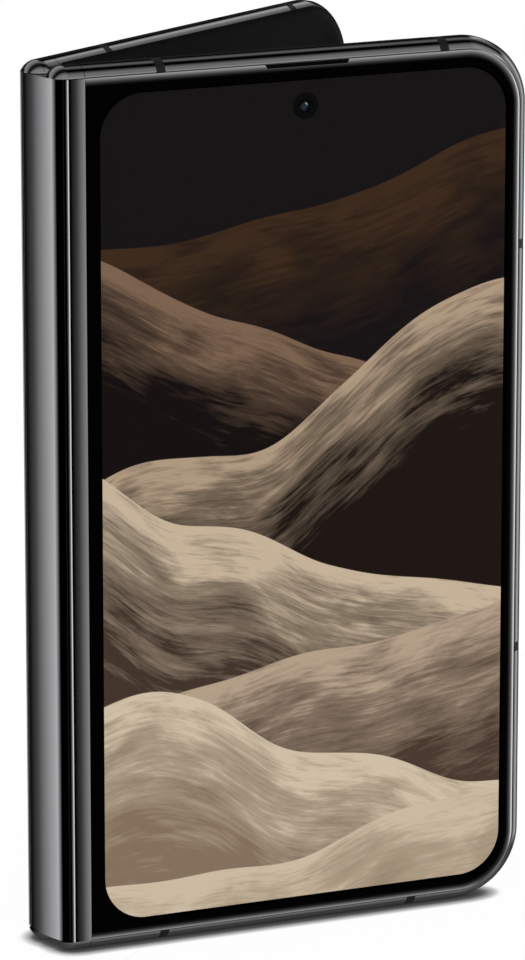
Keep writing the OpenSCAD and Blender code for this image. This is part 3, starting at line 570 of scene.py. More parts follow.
def make_strip(where, body):
    """Strip from its lip to the glass: v = BOW - sqrt(BOW^2 - (u - strip)^2).

    A narrow bead at bead_u leans the other way and catches the light; left of it the
    strip rounds off a little and ends in a wall at the lip.
    """
    bead_u, bead_w, bead_lean = 2.73, 0.2, math.radians(17)
    lip_u, lip_r = R - 1.0, COVER_R + SEAM
    lip_v = R - lip_r
    u = np.linspace(STRIP_U - 0.04, bead_u, 26)
    top = np.stack([u, BOW - np.sqrt(BOW**2 - (u - STRIP_U) ** 2)], -1)
    crest = np.array([bead_u - bead_w, top[-1, 1] - bead_w * math.tan(bead_lean)])
    turn = np.linspace(0.15, 1.0, 7)
    wide, tall = (crest[0] - lip_u - 0.01) / math.sin(1.0), 0.15
    facet = np.stack([crest[0] - wide * np.sin(turn), crest[1] + tall * (1 - np.cos(turn))], -1)
    facet = np.concatenate([[crest], facet, [[lip_u + 0.01, lip_v - 0.02]]])
    start, end = math.radians(90), math.acos((4.85 - R) / lip_r)
    t = np.linspace(start, end, 18)
    under = np.stack([R + lip_r * np.cos(t), R - lip_r * np.sin(t)], -1)
    tail = np.array([(7.0, 1.45), (7.0, 0.85), (STRIP_U, 0.8), (STRIP_U, 0.05)])
    section = np.concatenate([top, facet, under, tail])
    shell = extrude_z(section, inset, H - inset)
    shell.build(f"{where}_strip", where, body, "frame_metal", metal, [f"{where}_spine_strip"], sharp=10.0)


def cover_section(r, bulge):
    """Half the cover's outer line: a round of radius r about each axis, joined by a flat bow.

    The bow's normal leans by `bulge` where it meets each round: Rb = r + (gap/2) / sin(bulge).
    """
    big = r + axis_gap / 2 / math.sin(bulge)
    centre_x = (big - r) * math.cos(bulge)
    t1 = np.linspace(math.radians(COVER_WRAP), bulge, 40)
    front = np.stack([-r * np.cos(t1), -r * np.sin(t1)], -1)
    t2 = np.linspace(bulge, -bulge, 24)[1:-1]
    bow = np.stack([centre_x - big * np.cos(t2), axis_gap / 2 - big * np.sin(t2)], -1)
    rear = np.stack([front[::-1, 0], axis_gap - front[::-1, 1]], -1)
    return np.concatenate([front, bow, rear])


def make_cover():
    """The hinge cover, between the caps."""
    bulge = math.radians(4.5)
    outer = cover_section(COVER_R, bulge)
    inner = cover_section(COVER_R - COVER_WALL, bulge)[::-1]
    shell = extrude_z(np.concatenate([outer, inner]), inset, H - inset)
    shell.build("spine_cover", "spine", "spine", "frame_metal", metal, ["hinge_cover"])


for half in ("front", "rear"):
    make_caps(half, f"{half}_half")
    make_strip(half, f"{half}_half")
make_cover()
print("spine made")

# %% [markdown]
# ## Glass
#
# A sheet of glass, ground round at its free edges and printed black from behind. Rings
# follow the half's outline, drawn in step by step. Over the outer 1.45 mm the glass curves
# down to the seam: `v = Rg - sqrt(Rg^2 - (a - edge)^2)`. Each ring stores the tilt of the
# glass, 0 on the flat to 1 at the seam, and the gloss grows with it. The window over the
# display stores -1: the ink is left out there and the glass is clear.

# %% Glass surfaces
glass_curve = (GLASS_EDGE**2 + seam_v**2) / (2 * seam_v)


def outline(u0, u1, z0, z1, r_spine, r_free, n=36):
    """Closed outline (u, z) with round corners, r_spine at u0 and r_free at u1."""
    centres = [
        (u0 + r_spine, z0 + r_spine, r_spine, math.pi),
        (u1 - r_free, z0 + r_free, r_free, 1.5 * math.pi),
        (u1 - r_free, z1 - r_free, r_free, 0.0),
        (u0 + r_spine, z1 - r_spine, r_spine, 0.5 * math.pi),
    ]
    t = np.linspace(0, math.pi / 2, n)
    arcs = [np.stack([u + r * np.cos(t + t0), z + r * np.sin(t + t0)], -1) for u, z, r, t0 in centres]
    k = np.linspace(0, 1, 12)[1:-1, None]
    sides = [arcs[i][-1] * (1 - k) + arcs[(i + 1) % 4][0] * k for i in range(4)]
    return np.concatenate([piece for pair in zip(arcs, sides) for piece in pair])


def half_outline(a, spine_u):
    """Outline of a half's face at inset a, square at the spine."""
    return outline(spine_u, W - a, a, H - a, 0.0, CORNER - a)


def glass_shell(spine_u, window):
    """A glass with a rounded free edge, a straight spine edge and a window, tagged -1."""
    lean = np.linspace(1, 0, 24)
    start = inset + 0.05
    under = GLASS_T - 0.02
    profile = [(start + 0.4, under, 1.0), (start + 0.01, under, 1.0), (start, seam_v + 0.03, 1.0)]
    for k in lean:
        angle = k * math.asin((GLASS_EDGE - 0.05) / glass_curve)
        a = inset + GLASS_EDGE - glass_curve * math.sin(angle)
        profile.append((a, glass_curve * (1 - math.cos(angle)), k))
    profile.append((inset + GLASS_EDGE + 0.25, 0.0, 0.0))
    lines = [(half_outline(a, spine_u), v, k) for a, v, k in profile]
    u0, u1, z0, z1, r = window
    for d, k in ((0.0, 0.0), (0.01, -1.0)):
        lines.append((outline(u0 + d, u1 - d, z0 + d, z1 - d, r - d, r - d), 0.0, k))
    rings = np.stack([at_depth(q, v) for q, v, _ in lines])
    values = np.stack([np.full(len(q), k) for q, _, k in lines])
    return Shell().grid(rings, wrap=True, value=values).cap(rings[-1], -1.0)


def glass_material(name, see_through):
    """Black glass with a strong gloss on its curved edge; clear over the display if wanted."""
    material, tree = new_material(name)
    edge = add(tree, "ShaderNodeAttribute", attribute_name="tag").outputs["Fac"]
    flat_gloss = 0.0006 if see_through else 0.035
    rise = maths(tree, "POWER", maths(tree, "MAXIMUM", edge, 0.0), 3.2)
    strength = remap(tree, rise, 0.0, 1.0, flat_gloss, 0.42)
    colour = "#010101" if see_through else "#1d1d1f"
    ink = add(tree, "ShaderNodeBsdfDiffuse", {"Color": linear(colour)}).outputs[0]
    if see_through:
        solid = maths(tree, "GREATER_THAN", edge, -0.5)
        clear = add(tree, "ShaderNodeBsdfTransparent").outputs[0]
        ink = add(tree, "ShaderNodeMixShader", {0: solid, 1: clear, 2: ink}).outputs[0]
    gloss = add(tree, "ShaderNodeBsdfGlossy", {"Roughness": 0.03 if see_through else 0.12}).outputs[0]
    output(tree, add(tree, "ShaderNodeMixShader", {0: strength, 1: ink, 2: gloss}).outputs[0])
    return material


# Clear glass shows the picture and the ink's black; the etched back is a silky near-black.
clear_glass = glass_material("cover_glass_clear", True)
black_glass = glass_material("back_glass", False)
spine_u = STRIP_U + SEAM
# The window over the display: u from and to, z from and to, corner radius.
WINDOW = (7.55, 75.85, 3.91, 135.3, 7.2)
for half, slot, material, node in (
    ("front", "clear_glass", clear_glass, "cover_glass"),
    ("rear", "black_glass", black_glass, "back_glass"),
):
    glass_shell(spine_u, WINDOW).build(f"{half}_glass", half, f"{half}_half", slot, material, [node])
print("glass made")

# %% [markdown]
# ## The picture on the cover display
#
# A generic picture of sand dunes at dusk fills the place of the photo's own wallpaper. It
# is drawn by nodes from the display's own map, in millimetres: each dune is everything
# below a wavy crest line, lit along the crest and darker below it, with fine ripples.

# %% Cover display
# The picture: u from and to, z from and to; its corner radius.
IMAGE = (8.0, 75.55, 4.21, 135.0)
IMAGE_R = 6.9
# Each dune: level, slope, swing, seed of its wave, lit colour, dark colour, fall in mm.
DUNES = [
    (118.0, 0.10, 16.0, 0.21, "#3d2b1d", "#181415", 22.0),
    (99.0, -0.24, 20.0, 1.70, "#7c6350", "#171211", 17.0),
    (84.0, 0.32, 17.0, 3.10, "#ae9880", "#1f1714", 18.0),
    (62.0, -0.34, 21.0, 4.60, "#c5b299", "#44352c", 26.0),
    (44.0, 0.26, 15.0, 6.20, "#b39e88", "#4a3a30", 24.0),
    (30.0, -0.12, 17.0, 7.90, "#cfbfa6", "#84705d", 24.0),
    (13.0, 0.20, 10.0, 9.40, "#cbbaa2", "#95826c", 18.0),
]


def streaks(tree, x, below, seed, along, across, detail):
    """Noise drawn out along x: scaled by `along` and `across`, in 1/mm."""
    at = {0: maths(tree, "MULTIPLY", x, along), 1: maths(tree, "MULTIPLY", below, across), 2: seed}
    vector = add(tree, "ShaderNodeCombineXYZ", at).outputs[0]
    values = {"Vector": vector, "Scale": 1.0, "Detail": detail, "Distortion": 0.5}
    return add(tree, "ShaderNodeTexNoise", values).outputs["Fac"]


def dunes(tree, x, z):
    """Colour of the picture at (x, z) mm.

    Dune i fills z < crest(x) = level + slope (x - 41) + swing (2 noise - 1). Its shade
    follows depth = below / fall + folds + ripples + fine grain.
    """
    colour = linear("#181516")
    for level, slope, swing, seed, light, dark, fall in DUNES:
        along = add(tree, "ShaderNodeCombineXYZ", {0: maths(tree, "MULTIPLY", x, 0.021), 1: seed})
        wave = add(tree, "ShaderNodeTexNoise", {"Vector": along.outputs[0], "Scale": 1.0, "Detail": 1.0})
        rise = maths(tree, "MULTIPLY_ADD", wave.outputs["Fac"], 2 * swing, level - swing)
        crest = maths(tree, "MULTIPLY_ADD", maths(tree, "SUBTRACT", x, 41.0), slope, rise)
        below = maths(tree, "SUBTRACT", crest, z)
        inside = remap(tree, below, -0.06, 0.06, 0.0, 1.0)
        folds = streaks(tree, x, below, seed, 0.08, 0.19, 3.0)
        ripples = streaks(tree, x, below, seed + 20.0, 0.14, 1.5, 3.0)
        grain = streaks(tree, x, below, seed + 40.0, 0.5, 5.0, 2.0)
        depth = maths(tree, "MULTIPLY_ADD", folds, 1.5, maths(tree, "DIVIDE", below, fall))
        depth = maths(tree, "MULTIPLY_ADD", ripples, 0.85, depth)
        depth = maths(tree, "MULTIPLY_ADD", grain, 0.45, maths(tree, "SUBTRACT", depth, 1.4))
        middle = tuple(0.6 * b + 0.4 * a for a, b in zip(linear(light), linear(dark)))
        stops = [(0.0, linear(light)), (0.4, middle), (1.0, linear(dark))]
        colour = blend_colour(tree, inside, colour, ramp(tree, depth, stops))
    return colour


def display_material():
    """The lit picture inside a rounded rectangle, black around it.

    With the distance past each straight side, a point is inside when hypot(px, pz) < radius.
    """
    material, tree = new_material("cover_display_picture")
    uv = add(tree, "ShaderNodeUVMap", uv_map="millimetres").outputs[0]
    parts = add(tree, "ShaderNodeSeparateXYZ", {0: uv})
    x = maths(tree, "MULTIPLY", parts.outputs[0], 100.0)
    z = maths(tree, "MULTIPLY", parts.outputs[1], 100.0)
    x0, x1, z0, z1 = IMAGE
    squares = []
    for value, low, high in ((x, x0, x1), (z, z0, z1)):
        away = maths(tree, "ABSOLUTE", maths(tree, "SUBTRACT", value, (low + high) / 2))
        past = maths(tree, "MAXIMUM", maths(tree, "SUBTRACT", away, (high - low) / 2 - IMAGE_R), 0.0)
        squares.append(maths(tree, "POWER", past, 2.0))
    reach = maths(tree, "SQRT", maths(tree, "ADD", *squares))
    lit = maths(tree, "LESS_THAN", reach, IMAGE_R)
    picture = blend_colour(tree, lit, linear("#000000"), dunes(tree, x, z))
    output(tree, add(tree, "ShaderNodeEmission", {"Color": picture, "Strength": 1.0}).outputs[0])
    return material


def make_display():
    """A thin sheet just under the glass, with its map in units of 100 mm."""
    line = half_outline(3.3, 7.2)
    rings = [at_depth(line, v) for v in (GLASS_T + 0.02, 1.33)]
    shell = Shell().cap(rings[0]).grid(np.stack(rings), wrap=True).cap(rings[1])
    material = display_material()
    obj = shell.build("front_display", "front", "front_half", "lit_display", material, ["cover_display"])
    mesh = obj.data
    layer = mesh.uv_layers.new(name="millimetres")
    co = np.empty(len(mesh.vertices) * 3)
    mesh.vertices.foreach_get("co", co)
    corner = np.empty(len(mesh.loops), int)
    mesh.loops.foreach_get("vertex_index", corner)
    co = co.reshape(-1, 3)[corner] * 1000
    u = co[:, 0] - axis_front[0] + R
    layer.data.foreach_set("uv", np.stack([u, co[:, 2]], -1).ravel() / 100)


make_display()
print("display made")

# %% [markdown]
# ## Front camera and earpiece
#
# The camera shows in a round hole of the picture: a black ring and a dark lens. On its
# coating lie painted reflections as thin leaning pills: a violet sheen, a teal core and a small bright glint.
# The earpiece is a dark slot in the glass's edge.

# %% Camera and earpiece
# Blackened ring and the dark of the lens: hardly any gloss, so the hole reads as deep.
lens_ring = principled("lens_ring_black", "#080808", 0.4, specular=0.02)
lens_dark = principled("lens_dark", "#030404", 0.2, specular=0.02)
# Anodised barrel of a rear camera: satin grey. Its coated lens: a blue-black gloss.
barrel_grey = principled("lens_barrel_grey", "#343437", 0.35, specular=0.5)
lens_coat = principled("lens_coated", "#0e1a2a", 0.05, specular=0.5)
# Painted reflections on the front camera's coating: teal, violet and one near-white glint.
painted_teal_reflection = principled("lens_teal", "#14323c", 0.3, specular=0.05)
painted_violet_reflection = principled("lens_violet", "#29242f", 0.3, specular=0.05)
glint = principled("lens_glint", "#a9b8b9", 0.3, specular=0.05)


def disc_stack(name, where, body, slot, at, layers, nodes=()):
    """Round pieces on the outer face at (u, v, z); layers = (name, material, radius, profile)."""
    for index, (label, material, radius, profile) in enumerate(layers):
        shell = pill_rings(2 * radius, 2 * radius, profile, face_frame(*at), n=72)
        shell.build(f"{name}_{label}", where, body, slot, material, nodes if index == 0 else ())


CAM_U, CAM_Z = 41.7, 131.05
at = (CAM_U, GLASS_T, CAM_Z)
layers = [
    ("ring", lens_ring, 2.1, [(0, -0.3), (0, 0.0), (0.9, 0.0), (0.95, -0.1)]),
    ("lens", lens_dark, 1.25, [(0, -0.1), (0.02, -0.012), (0.6, 0.0), (0.9, 0.005)]),
]
disc_stack("front_camera", "front", "front_half", "camera_black", at, layers, ["front_camera"])
# Painted reflections on the lens: label, material, place (u, z), length, width, lean, height.
for label, material, du, dz, length, width, lean, rise in (
    ("haze", painted_violet_reflection, -0.36, -0.26, 1.1, 0.7, -55, 0.008),
    ("core", painted_teal_reflection, -0.1, 0.0, 0.95, 0.72, -50, 0.011),
    ("glint", glint, 0.14, 0.3, 0.52, 0.17, -50, 0.015),
):
    c, k = math.cos(math.radians(lean)), math.sin(math.radians(lean))
    spot = ((CAM_U + du, GLASS_T, CAM_Z + dz), (c, 0, k), (-k, 0, c), (0, -1, 0))
    shell = pill_rings(length, width, [(0, 0.0), (0.0, rise), (0.05, rise + 0.002)], spot, n=32)
    shell.build(f"front_camera_{label}", "front", "front_half", "camera_black", material)


def make_earpiece(mid=41.8, length=13.3, high=0.6):
    """A patch over the glass's curved top edge: slanted ends, 0.015 mm proud."""
    k = np.linspace(0, 1, 8)
    a = inset + 0.02 + k * high
    back = np.clip(inset + GLASS_EDGE - a, 0, GLASS_EDGE)
    v = glass_curve - np.sqrt(glass_curve**2 - back**2) - 0.015
    half = length / 2 + 0.35 * (1 - k)
    t = np.linspace(-1, 1, 40)
    shape = (len(k), len(t))
    deep = np.broadcast_to(v[:, None], shape)
    patch = np.stack([mid + half[:, None] * t, deep, np.broadcast_to(H - a[:, None], shape)], -1)
    shell = Shell().grid(patch)
    shell.build("earpiece_slot", "front", "front_half", "mesh_metal", mesh_dark, ["earpiece_mesh"])


make_earpiece()

# %% [markdown]
# ## Inner side: bezels, inner display and its bend
#
# The bezel continues the rail's round from the metal's edge to the inner face, then runs
# flat to the window. The bend of the display is two sheets, one between the front half
# and the spine and one between the spine and the rear half. At a share w of the way to
# the spine, the open flat sheet is turned back by `(1 - w) * (90 deg - fold / 2)`.


# %% Bezels
def bezel_paths():
    """Paths from the metal's edge to the window's floor, all with the same point count."""
    start = 6.55
    total = straight_marks(start)[5]
    path, normal = edge_path(0, total, start=start)
    p = np.linspace(p_inner - 0.01, -math.pi / 2, 16)
    a, v = np.moveaxis(rail_arc(p), -1, 0)
    rings = [at_depth(path + a_k * normal, v_k) for a_k, v_k in zip(a, v)]
    angle = np.arctan2(-normal[:, 1], -normal[:, 0])
    share_top = np.clip((path[:, 0] - start) / (W - CORNER - start), 0, 1)
    u1, z0 = W - INNER_BORDER_W - INNER_CORNER, INNER_BORDER_H + INNER_CORNER
    z1 = H - z0
    share_side = np.clip((path[:, 1] - CORNER) / (H - 2 * CORNER), 0, 1)
    for grow, depth in ((0.0, T), (0.12, T - 0.05), (0.16, T - 0.14), (0.16, INNER_V - 0.02)):
        r = INNER_CORNER - grow
        u = start + share_top * (u1 - start) + r * np.cos(angle)
        z = z0 + share_side * (z1 - z0) + r * np.sin(angle)
        u = np.where(np.abs(np.cos(angle)) < 1e-6, start + share_top * (u1 - start), u)
        rings.append(at_depth(np.stack([u, z], -1), depth))
    return np.stack(rings)


def make_bezel(where, body):
    """The black plastic rim round the inner display."""
    shell = Shell().grid(bezel_paths())
    shell.build(f"{where}_inner_rim", where, body, "bezel_plastic", bezel_black, [f"{where}_inner_bezel"])


def fold_sheet(depth, count=40):
    """Points (x, y) of the bend in the spine frame from the half (w = 0) to the spine (w = 1).

    The share w is a smooth step of the way between both ends, found by repeated use.
    """
    q = np.linspace(0, 1, count)
    along = -(FOLD_U - R) * (1 - q) + axis_gap / 2 * q
    w = q.copy()
    for _ in range(60):
        turn = (math.pi / 2 - half_fold) * (1 - w)
        x = depth * np.cos(turn) - along * np.sin(turn)
        y = depth * np.sin(turn) + along * np.cos(turn)
        d = np.array([x[-1] - x[0], y[-1] - y[0]])
        t = np.clip(((x - x[0]) * d[0] + (y - y[0]) * d[1]) / (d @ d), 0, 1)
        w = t * t * (3 - 2 * t)
    return np.stack([x, y], -1)


def make_bend(name, depth, thick, spans, slot, material, node):
    """Two halves of a bending sheet between heights, each blended between a half and the spine."""
    for side in ("front", "rear"):
        top, under = fold_sheet(depth), fold_sheet(depth - thick)
        ring = np.concatenate([top, under[::-1]])
        ends = np.array([[*top[0], H / 2], [*top[-1], H / 2]])
        if side == "rear":
            ring[:, 1] = axis_gap - ring[:, 1]
            ends[:, 1] = axis_gap - ends[:, 1]
        shell = joined([extrude_z(ring, low, high) for low, high in spans])
        obj = shell.build(f"{side}_{name}", "spine", None, slot, material)
        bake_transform(obj)
        if side == "front":
            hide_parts(node)


for half in ("front", "rear"):
    make_bezel(half, f"{half}_half")
FACE = INNER_V - R
make_bend("fold_sheet", FACE, 0.3, [(3.5, H - 3.5)], "dark_display", dark_screen, "fold_display")
CABLES = [(k * H - 4, k * H + 4) for k in (0.32, 0.68)]
make_bend("hinge_cable", FACE - 0.5, 0.12, CABLES, "flex_film", flex_film, "hinge_flex_cables")
print("inner side made")

# %% [markdown]
# ## Back: camera bar, keys, card tray, plug socket and openings
#
# Each is a stack of pill-shaped rings with a rounded or chamfered rim. The pieces that
# sit in the edge follow its directions: along, across and out.

# %% Back pieces
# Blasted and anodised aluminium: dark satin, darker than the polished rails.
bar_metal = principled("camera_bar_metal", "#2e2e30", 0.34, metallic=0.4, vary=0.03, scale=900.0)
# Tinted glass: black with a clear gloss. Moulded diffuser: cream, finely pitted.
window_black = principled("camera_window_glass", "#060607", 0.06, specular=0.6)
flash_white = principled("flash_diffuser", "#e9e0c8", 0.35, bump=2e-5, scale=2500.0)

rim = [(-0.25, -0.02), (-0.22, 0.08), (0, 0.22), (0, BAR_OUT - 0.55)]
rim += fillet(0.0, BAR_OUT - 0.55, 0.5, BAR_OUT)
shell = pill_rings(BAR_L, BAR_H, rim, face_frame(BAR_U, 0, BAR_Z), n=128)
shell.build("rear_camera_bar", "rear", "rear_half", "frame_metal", bar_metal, ["camera_bar"])

WINDOW_U = BAR_U - BAR_L / 2 + 3 + WINDOW_L / 2
rim = [(0, BAR_OUT - 0.4), (0, BAR_OUT + 0.02), (0.06, BAR_OUT + 0.05)]
shell = pill_rings(WINDOW_L, WINDOW_H, rim, face_frame(WINDOW_U, 0, BAR_Z), n=96)
shell.build("rear_camera_pane", "rear", "rear_half", "black_glass", window_black, ["camera_window"])

top = BAR_OUT + 0.05
for index, (label, mouth) in enumerate((("wide", 2.9), ("ultrawide", 2.2), ("tele", 2.5))):
    lens_u = WINDOW_U + (index - 1) * WINDOW_L / 3
    barrel = [(0, top - 0.3), (0, top + 0.01), (0.3, top + 0.03), (4.2 - mouth, top + 0.012)]
    lens = [(0, top), (0.15, top + 0.018), (mouth * 0.5, top + 0.03), (mouth * 0.9, top + 0.034)]
    core = [(0, top + 0.03), (0.1, top + 0.04), (mouth * 0.3, top + 0.044)]
    layers = [
        ("barrel", barrel_grey, 4.3, barrel),
        ("lens", lens_coat, mouth, lens),
        ("core", lens_dark, mouth * 0.42, core),
    ]
    at = (lens_u, 0, BAR_Z)
    disc_stack(f"rear_{label}", "rear", "rear_half", "camera_black", at, layers, [f"{label}_camera"])

low = BAR_OUT - 0.1
lens = [(0, low), (0, BAR_OUT + 0.01), (0.15, BAR_OUT + 0.05), (1.2, BAR_OUT + 0.09)]
ring = [(0, low), (0.02, BAR_OUT + 0.03), (0.28, BAR_OUT + 0.03), (0.3, BAR_OUT - 0.05)]
at = ((WINDOW_U + WINDOW_L / 2 + BAR_U + BAR_L / 2) / 2, 0, BAR_Z)
layers = [("lens", flash_white, 2.0, lens), ("rim", lens_ring, 2.3, ring)]
disc_stack("rear_flash", "rear", "rear_half", "flash_lens", at, layers, ["camera_flash"])


def side_frame(z, u=W):
    """Directions at the free edge: along z, across v, out u."""
    return ((u, R, z), (0, 0, 1), (0, 1, 0), (1, 0, 0))


for name, node, z, length in (
    ("power", "power_button", POWER_Z, POWER_L),
    ("volume", "volume_key", VOLUME_Z, VOLUME_L),
):
    rim = [(0, -2.6), (0, 0.06)] + fillet(0.0, 0.06, 0.24, 0.3)
    shell = pill_rings(length, KEY_W, rim, side_frame(z), n=64, caps=(True, True))
    shell.build(f"{name}_key_head", "rear", f"{node}_body", "frame_metal", metal, [node])


def make_tray():
    """Tray face on the round of the free edge, with its eject hole as a disc of painted shade, and the carrier."""
    face = pill(TRAY_L, TRAY_W, 96)
    k = np.linspace(0.02, 1, 10)[:, None, None]
    flat = face[None] * k
    surface = surface_point(s_side(TRAY_Z) + flat[..., 0], flat[..., 1])
    surface[..., 0] -= 0.02
    shell = Shell().grid(surface, wrap=True).cap(surface[0])
    wall = np.stack([surface[-1], surface[-1] - np.array([2.4, 0, 0])])
    shell.grid(wall, wrap=True).cap(wall[1])
    corners = np.array([(0, -0.48, -6.2), (0, 0.48, -6.2), (0, 0.48, 6.2), (0, -0.48, 6.2)])
    box = np.stack([corners + (u, R, TRAY_Z) for u in (W - 17.0, W - 2.4)])
    shell.grid(box, wrap=True).cap(box[0]).cap(box[1])
    shell.build("card_tray_face", "rear", "card_tray_body", "frame_metal", metal, ["card_tray"])
    # The eject hole is a flat black disc just proud of the face: painted shade, not a real hole.
    rim = [(0, 0.0), (0.02, 0.012), (0.2, 0.012)]
    hole = pill_rings(0.8, 0.8, rim, side_frame(TRAY_Z + 5.2, W - 0.01), n=32)
    hole.build("card_tray_pinhole", "rear", "card_tray_body", "frame_metal", painted_hole_shade)


make_tray()

socket = ((USB_U, R, 0), (1, 0, 0), (0, 1, 0), (0, 0, -1))
rim = [(0, -6.4), (0, -0.5), (0.3, -0.45), (0.3, -6.2)]
shell = pill_rings(USB_W + 0.6, USB_H + 0.6, rim, socket, n=96, caps=(True, True))
shell.build("plug_socket_shell", "rear", "rear_half", "socket_steel", steel, ["usb_shell"])

# Meshes: name, u, z of the edge, direction out, length, width, depth, points, CAD node.
for name, u, z, out, length, width, deep, n, node in (
    ("speaker_slot_mesh", SPEAKER_U, 0, -1, SPEAKER_L, SPEAKER_W, 1.0, 64, ["speaker_mesh"]),
    ("bottom_mic_mesh", BOTTOM_MIC_U, 0, -1, MIC_D, MIC_D, 0.8, 64, []),
    ("top_mic_mesh", TOP_MIC_U, H, 1, MIC_D, MIC_D, 0.8, 48, []),
):
    hole = ((u, R, z), (1, 0, 0), (0, 1, 0), (0, 0, out))
    shell = pill_rings(length, width, [(0, -deep - 0.3), (0, -deep)], hole, n=n)
    shell.build(name, "rear", "rear_half", "mesh_metal", mesh_dark, node)
print("back made")

# %% [markdown]
# ## Inner pieces that stay as CAD meshes
#
# The pieces inside keep their CAD shape and only get a material for their slot.

# %% Materials by slot
inner_materials = {
    "battery_wrap": principled("battery_foil", "#3a3c40", 0.5),
    "board_green": principled("solder_mask", "#1f3d2b", 0.5),
    "washer_bronze": principled("sprung_bronze", "#b08a4a", 0.35, metallic=1.0),
    "coil_copper": principled("coil_copper", "#a8603a", 0.4, metallic=1.0),
    "flex_film": flex_film,
    "black_plastic": principled("black_plastic", "#101011", 0.5),
    "bezel_plastic": bezel_black,
    "dark_display": dark_screen,
    "frame_metal": metal,
    "antenna_plastic": antenna,
    "clear_glass": black_glass,
    "black_glass": window_black,
    "lit_display": dark_screen,
    "mesh_metal": mesh_dark,
    "camera_black": lens_ring,
    "flash_lens": flash_white,
}
for part in ("hinge", "pin", "gear", "motor", "socket"):
    inner_materials[f"{part}_steel"] = steel
slot_of = {s["node"]: s["material_slot"] for s in frame["record"]["subparts"]}
for node, obj in frame["nodes"].items():
    obj.data.materials.clear()
    obj.data.materials.append(inner_materials[slot_of[node]])
print("inner pieces dressed:", len(slot_of))

# %% [markdown]
# ## Studio
#
# The floor is one large pale plane. The world lights diffuse surfaces evenly, a little
# stronger from above, so that a colour renders about as it is written. Polished metal
# and glass see a dark studio with a few soft boxes, placed by the ray's direction:
#
# - RING, for level rays: degrees round the horizon, from the front towards -X.
# - TIP and TIP_BACK, for steep rays: degrees from the front over the top. The front cap
#   and rail reflect the first, the rear ones mostly the second.
# - COLUMNS: the share of TIP_BACK in the mix of both, by the x of the ray's direction.
#
# Only the camera sees the white background.

# %% Floor and world
def floor_material():
    """Pale floor: the camera sees it glow near white, with a painted contact shadow that is darkest where the
    phone stands on it.
    """
    material, tree = new_material("studio_floor_paint")
    paint = add(tree, "ShaderNodeBsdfDiffuse", {"Color": (0.93, 0.93, 0.93, 1)}).outputs[0]
    # Painted contact shadow: ambient occlusion within 3 mm darkens the white glow that the camera sees.
    near = add(tree, "ShaderNodeAmbientOcclusion", {"Distance": 0.003}, samples=24).outputs["AO"]
    painted_contact_shadow = ramp(tree, near, [(0.0, 0.01), (0.45, 0.08), (0.75, 0.55), (0.92, 1.0)])
    white = add(tree, "ShaderNodeEmission", {"Color": painted_contact_shadow, "Strength": 1.0}).outputs[0]
    seen = maths(tree, "MULTIPLY", add(tree, "ShaderNodeLightPath").outputs["Is Camera Ray"], 0.97)
    output(tree, add(tree, "ShaderNodeMixShader", {0: seen, 1: paint, 2: white}).outputs[0])
    return material


floor_mesh = bpy.data.meshes.new("studio_floor")
reach = 60.0
floor_corners = [(reach * a, reach * b, 0) for a, b in ((-1, -1), (1, -1), (1, 1), (-1, 1))]
floor_mesh.from_pydata(floor_corners, [], [(0, 1, 2, 3)])
floor_obj = bpy.data.objects.new("studio_floor", floor_mesh)
bpy.context.scene.collection.objects.link(floor_obj)
floor_mesh.materials.append(floor_material())
floor_obj.visible_glossy = False

# Each soft box: dark up to, full from, full up to, dark from, light.
RING = [
    (-181, -180, -130, -120, 0.02),
    (-140, -117, -112, -100, 0.22),
    (-120, -97, -92, -77, 1.3),
    (-90, -85, -60, -50, 0.47),
    (-71, -59.5, -55, -45, 2.4),
    (-56, -51, -23, -13, 1.1),
    (-60, -50, -17, -10, 0.25),
    (76, 87, 95, 100, 0.31),
    (80, 116, 119, 135, 1.6),
    (120, 125, 130, 139, 0.3),
    (134, 139, 180, 181, 0.02),
]
TIP = [
    (-165, -95, -60, -40, 0.16),
    (-98, -52, -50, -20, 0.9),
    (-50, -40, 5, 20, 0.5),
    (-14, 13, 41, 56, 0.95),
    (40, 45, 60, 81, 0.57),
    (98, 112, 114, 135, 0.38),
]
TIP_BACK = [
    (-180, -30, 40, 60, 0.4),
    (-90, 30, 60, 86, 0.8),
    (84, 86, 104, 110, 0.03),
    (103, 135, 143, 169, 1.13),
]
COLUMNS = [(-1.1, -1.0, 0.22, 0.32, 0.65), (0.49, 0.56, 0.57, 0.8, 1.0)]


def soft_boxes(tree, place, boxes):
    """The brightest soft box at a place, where each gives the lower of its rise and its fall."""
    light = 0.0
    for dark, full, fading, gone, level in boxes:
        rise = remap(tree, place, dark, full, 0.0, level)
        fall = remap(tree, place, fading, gone, level, 0.0)
        light = maths(tree, "MAXIMUM", light, maths(tree, "MINIMUM", rise, fall))
    return light


def degrees_of(tree, y, x):
    """atan2(y, x) in degrees."""
    return maths(tree, "MULTIPLY", maths(tree, "ARCTAN2", y, x), 180 / math.pi)


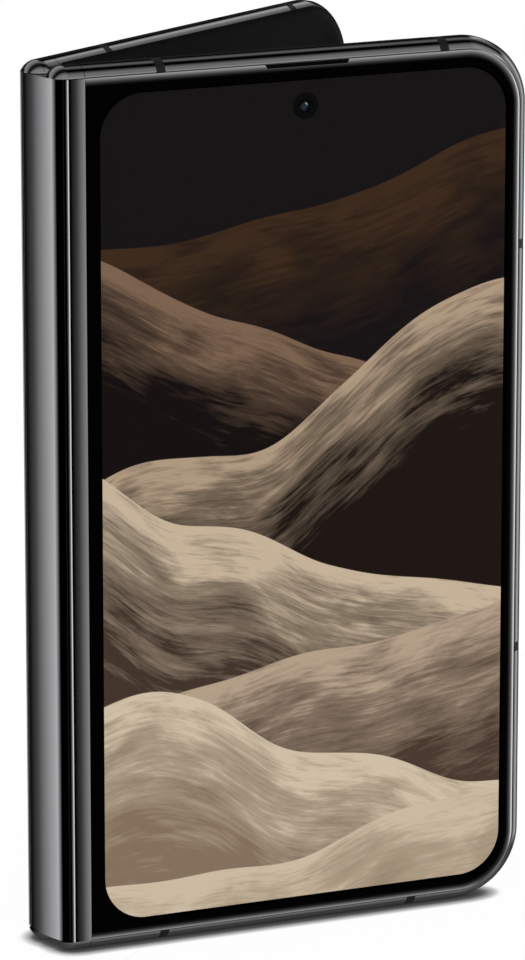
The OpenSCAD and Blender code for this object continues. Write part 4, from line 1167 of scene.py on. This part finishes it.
def make_world():
    """World radiance: even light for diffuse rays, panels for glossy rays, white for the camera."""
    world = bpy.data.worlds.new("studio")
    bpy.context.scene.world = world
    world.use_nodes = True
    tree = world.node_tree
    tree.nodes.clear()
    direction = add(tree, "ShaderNodeTexCoord").outputs["Generated"]
    axes = add(tree, "ShaderNodeSeparateXYZ", {0: direction})
    x, y, z = axes.outputs
    minus_x, minus_y = maths(tree, "MULTIPLY", x, -1.0), maths(tree, "MULTIPLY", y, -1.0)
    ring = soft_boxes(tree, degrees_of(tree, minus_x, minus_y), RING)
    over = degrees_of(tree, z, minus_y)
    back_share = soft_boxes(tree, x, COLUMNS)
    tip, back = soft_boxes(tree, over, TIP), soft_boxes(tree, over, TIP_BACK)
    steep = remap(tree, maths(tree, "ABSOLUTE", z), 0.35, 0.45, 0.0, 1.0)
    panels = blend_colour(tree, steep, ring, blend_colour(tree, back_share, tip, back))
    even = maths(tree, "MULTIPLY_ADD", z, 0.35, 0.76)
    path = add(tree, "ShaderNodeLightPath").outputs
    shiny = maths(tree, "MAXIMUM", path["Is Glossy Ray"], path["Is Transmission Ray"])
    light = add(tree, "ShaderNodeBackground", {"Color": (1, 1, 1, 1), "Strength": even}).outputs[0]
    studio = add(tree, "ShaderNodeBackground", {"Color": panels, "Strength": 1.0}).outputs[0]
    white = add(tree, "ShaderNodeBackground", {"Color": (1, 1, 1, 1), "Strength": 1.0}).outputs[0]
    mixed = add(tree, "ShaderNodeMixShader", {0: shiny, 1: light, 2: studio}).outputs[0]
    mixed = add(tree, "ShaderNodeMixShader", {0: path["Is Camera Ray"], 1: mixed, 2: white}).outputs[0]
    add(tree, "ShaderNodeOutputWorld", {0: mixed})


make_world()
scene = bpy.context.scene
scene.view_settings.view_transform = "Standard"

# %% [markdown]
# ## Camera
#
# A plain camera, fitted to the photo's corners, seams and spine lines. It looks down by
# 14.4 degrees and from 23 degrees to the left of the cover display's normal.

# %% Camera
camera_data = bpy.data.cameras.new("main")
camera = bpy.data.objects.new("main", camera_data)
scene.collection.objects.link(camera)
scene.camera = camera
front_origin = np.array([axis_front[0] - R, axis_front[1] - R, 0.0])
camera.location = (front_origin + np.array([-306.73, -803.52, 297.21])) / 1000
camera.rotation_euler = (math.radians(90 - 14.4105), 0.0, -math.radians(22.9958))
camera_data.sensor_width = 36.0
camera_data.lens = 5829.1 * 36.0 / 960.0
camera_data.clip_start, camera_data.clip_end = 0.05, 200.0
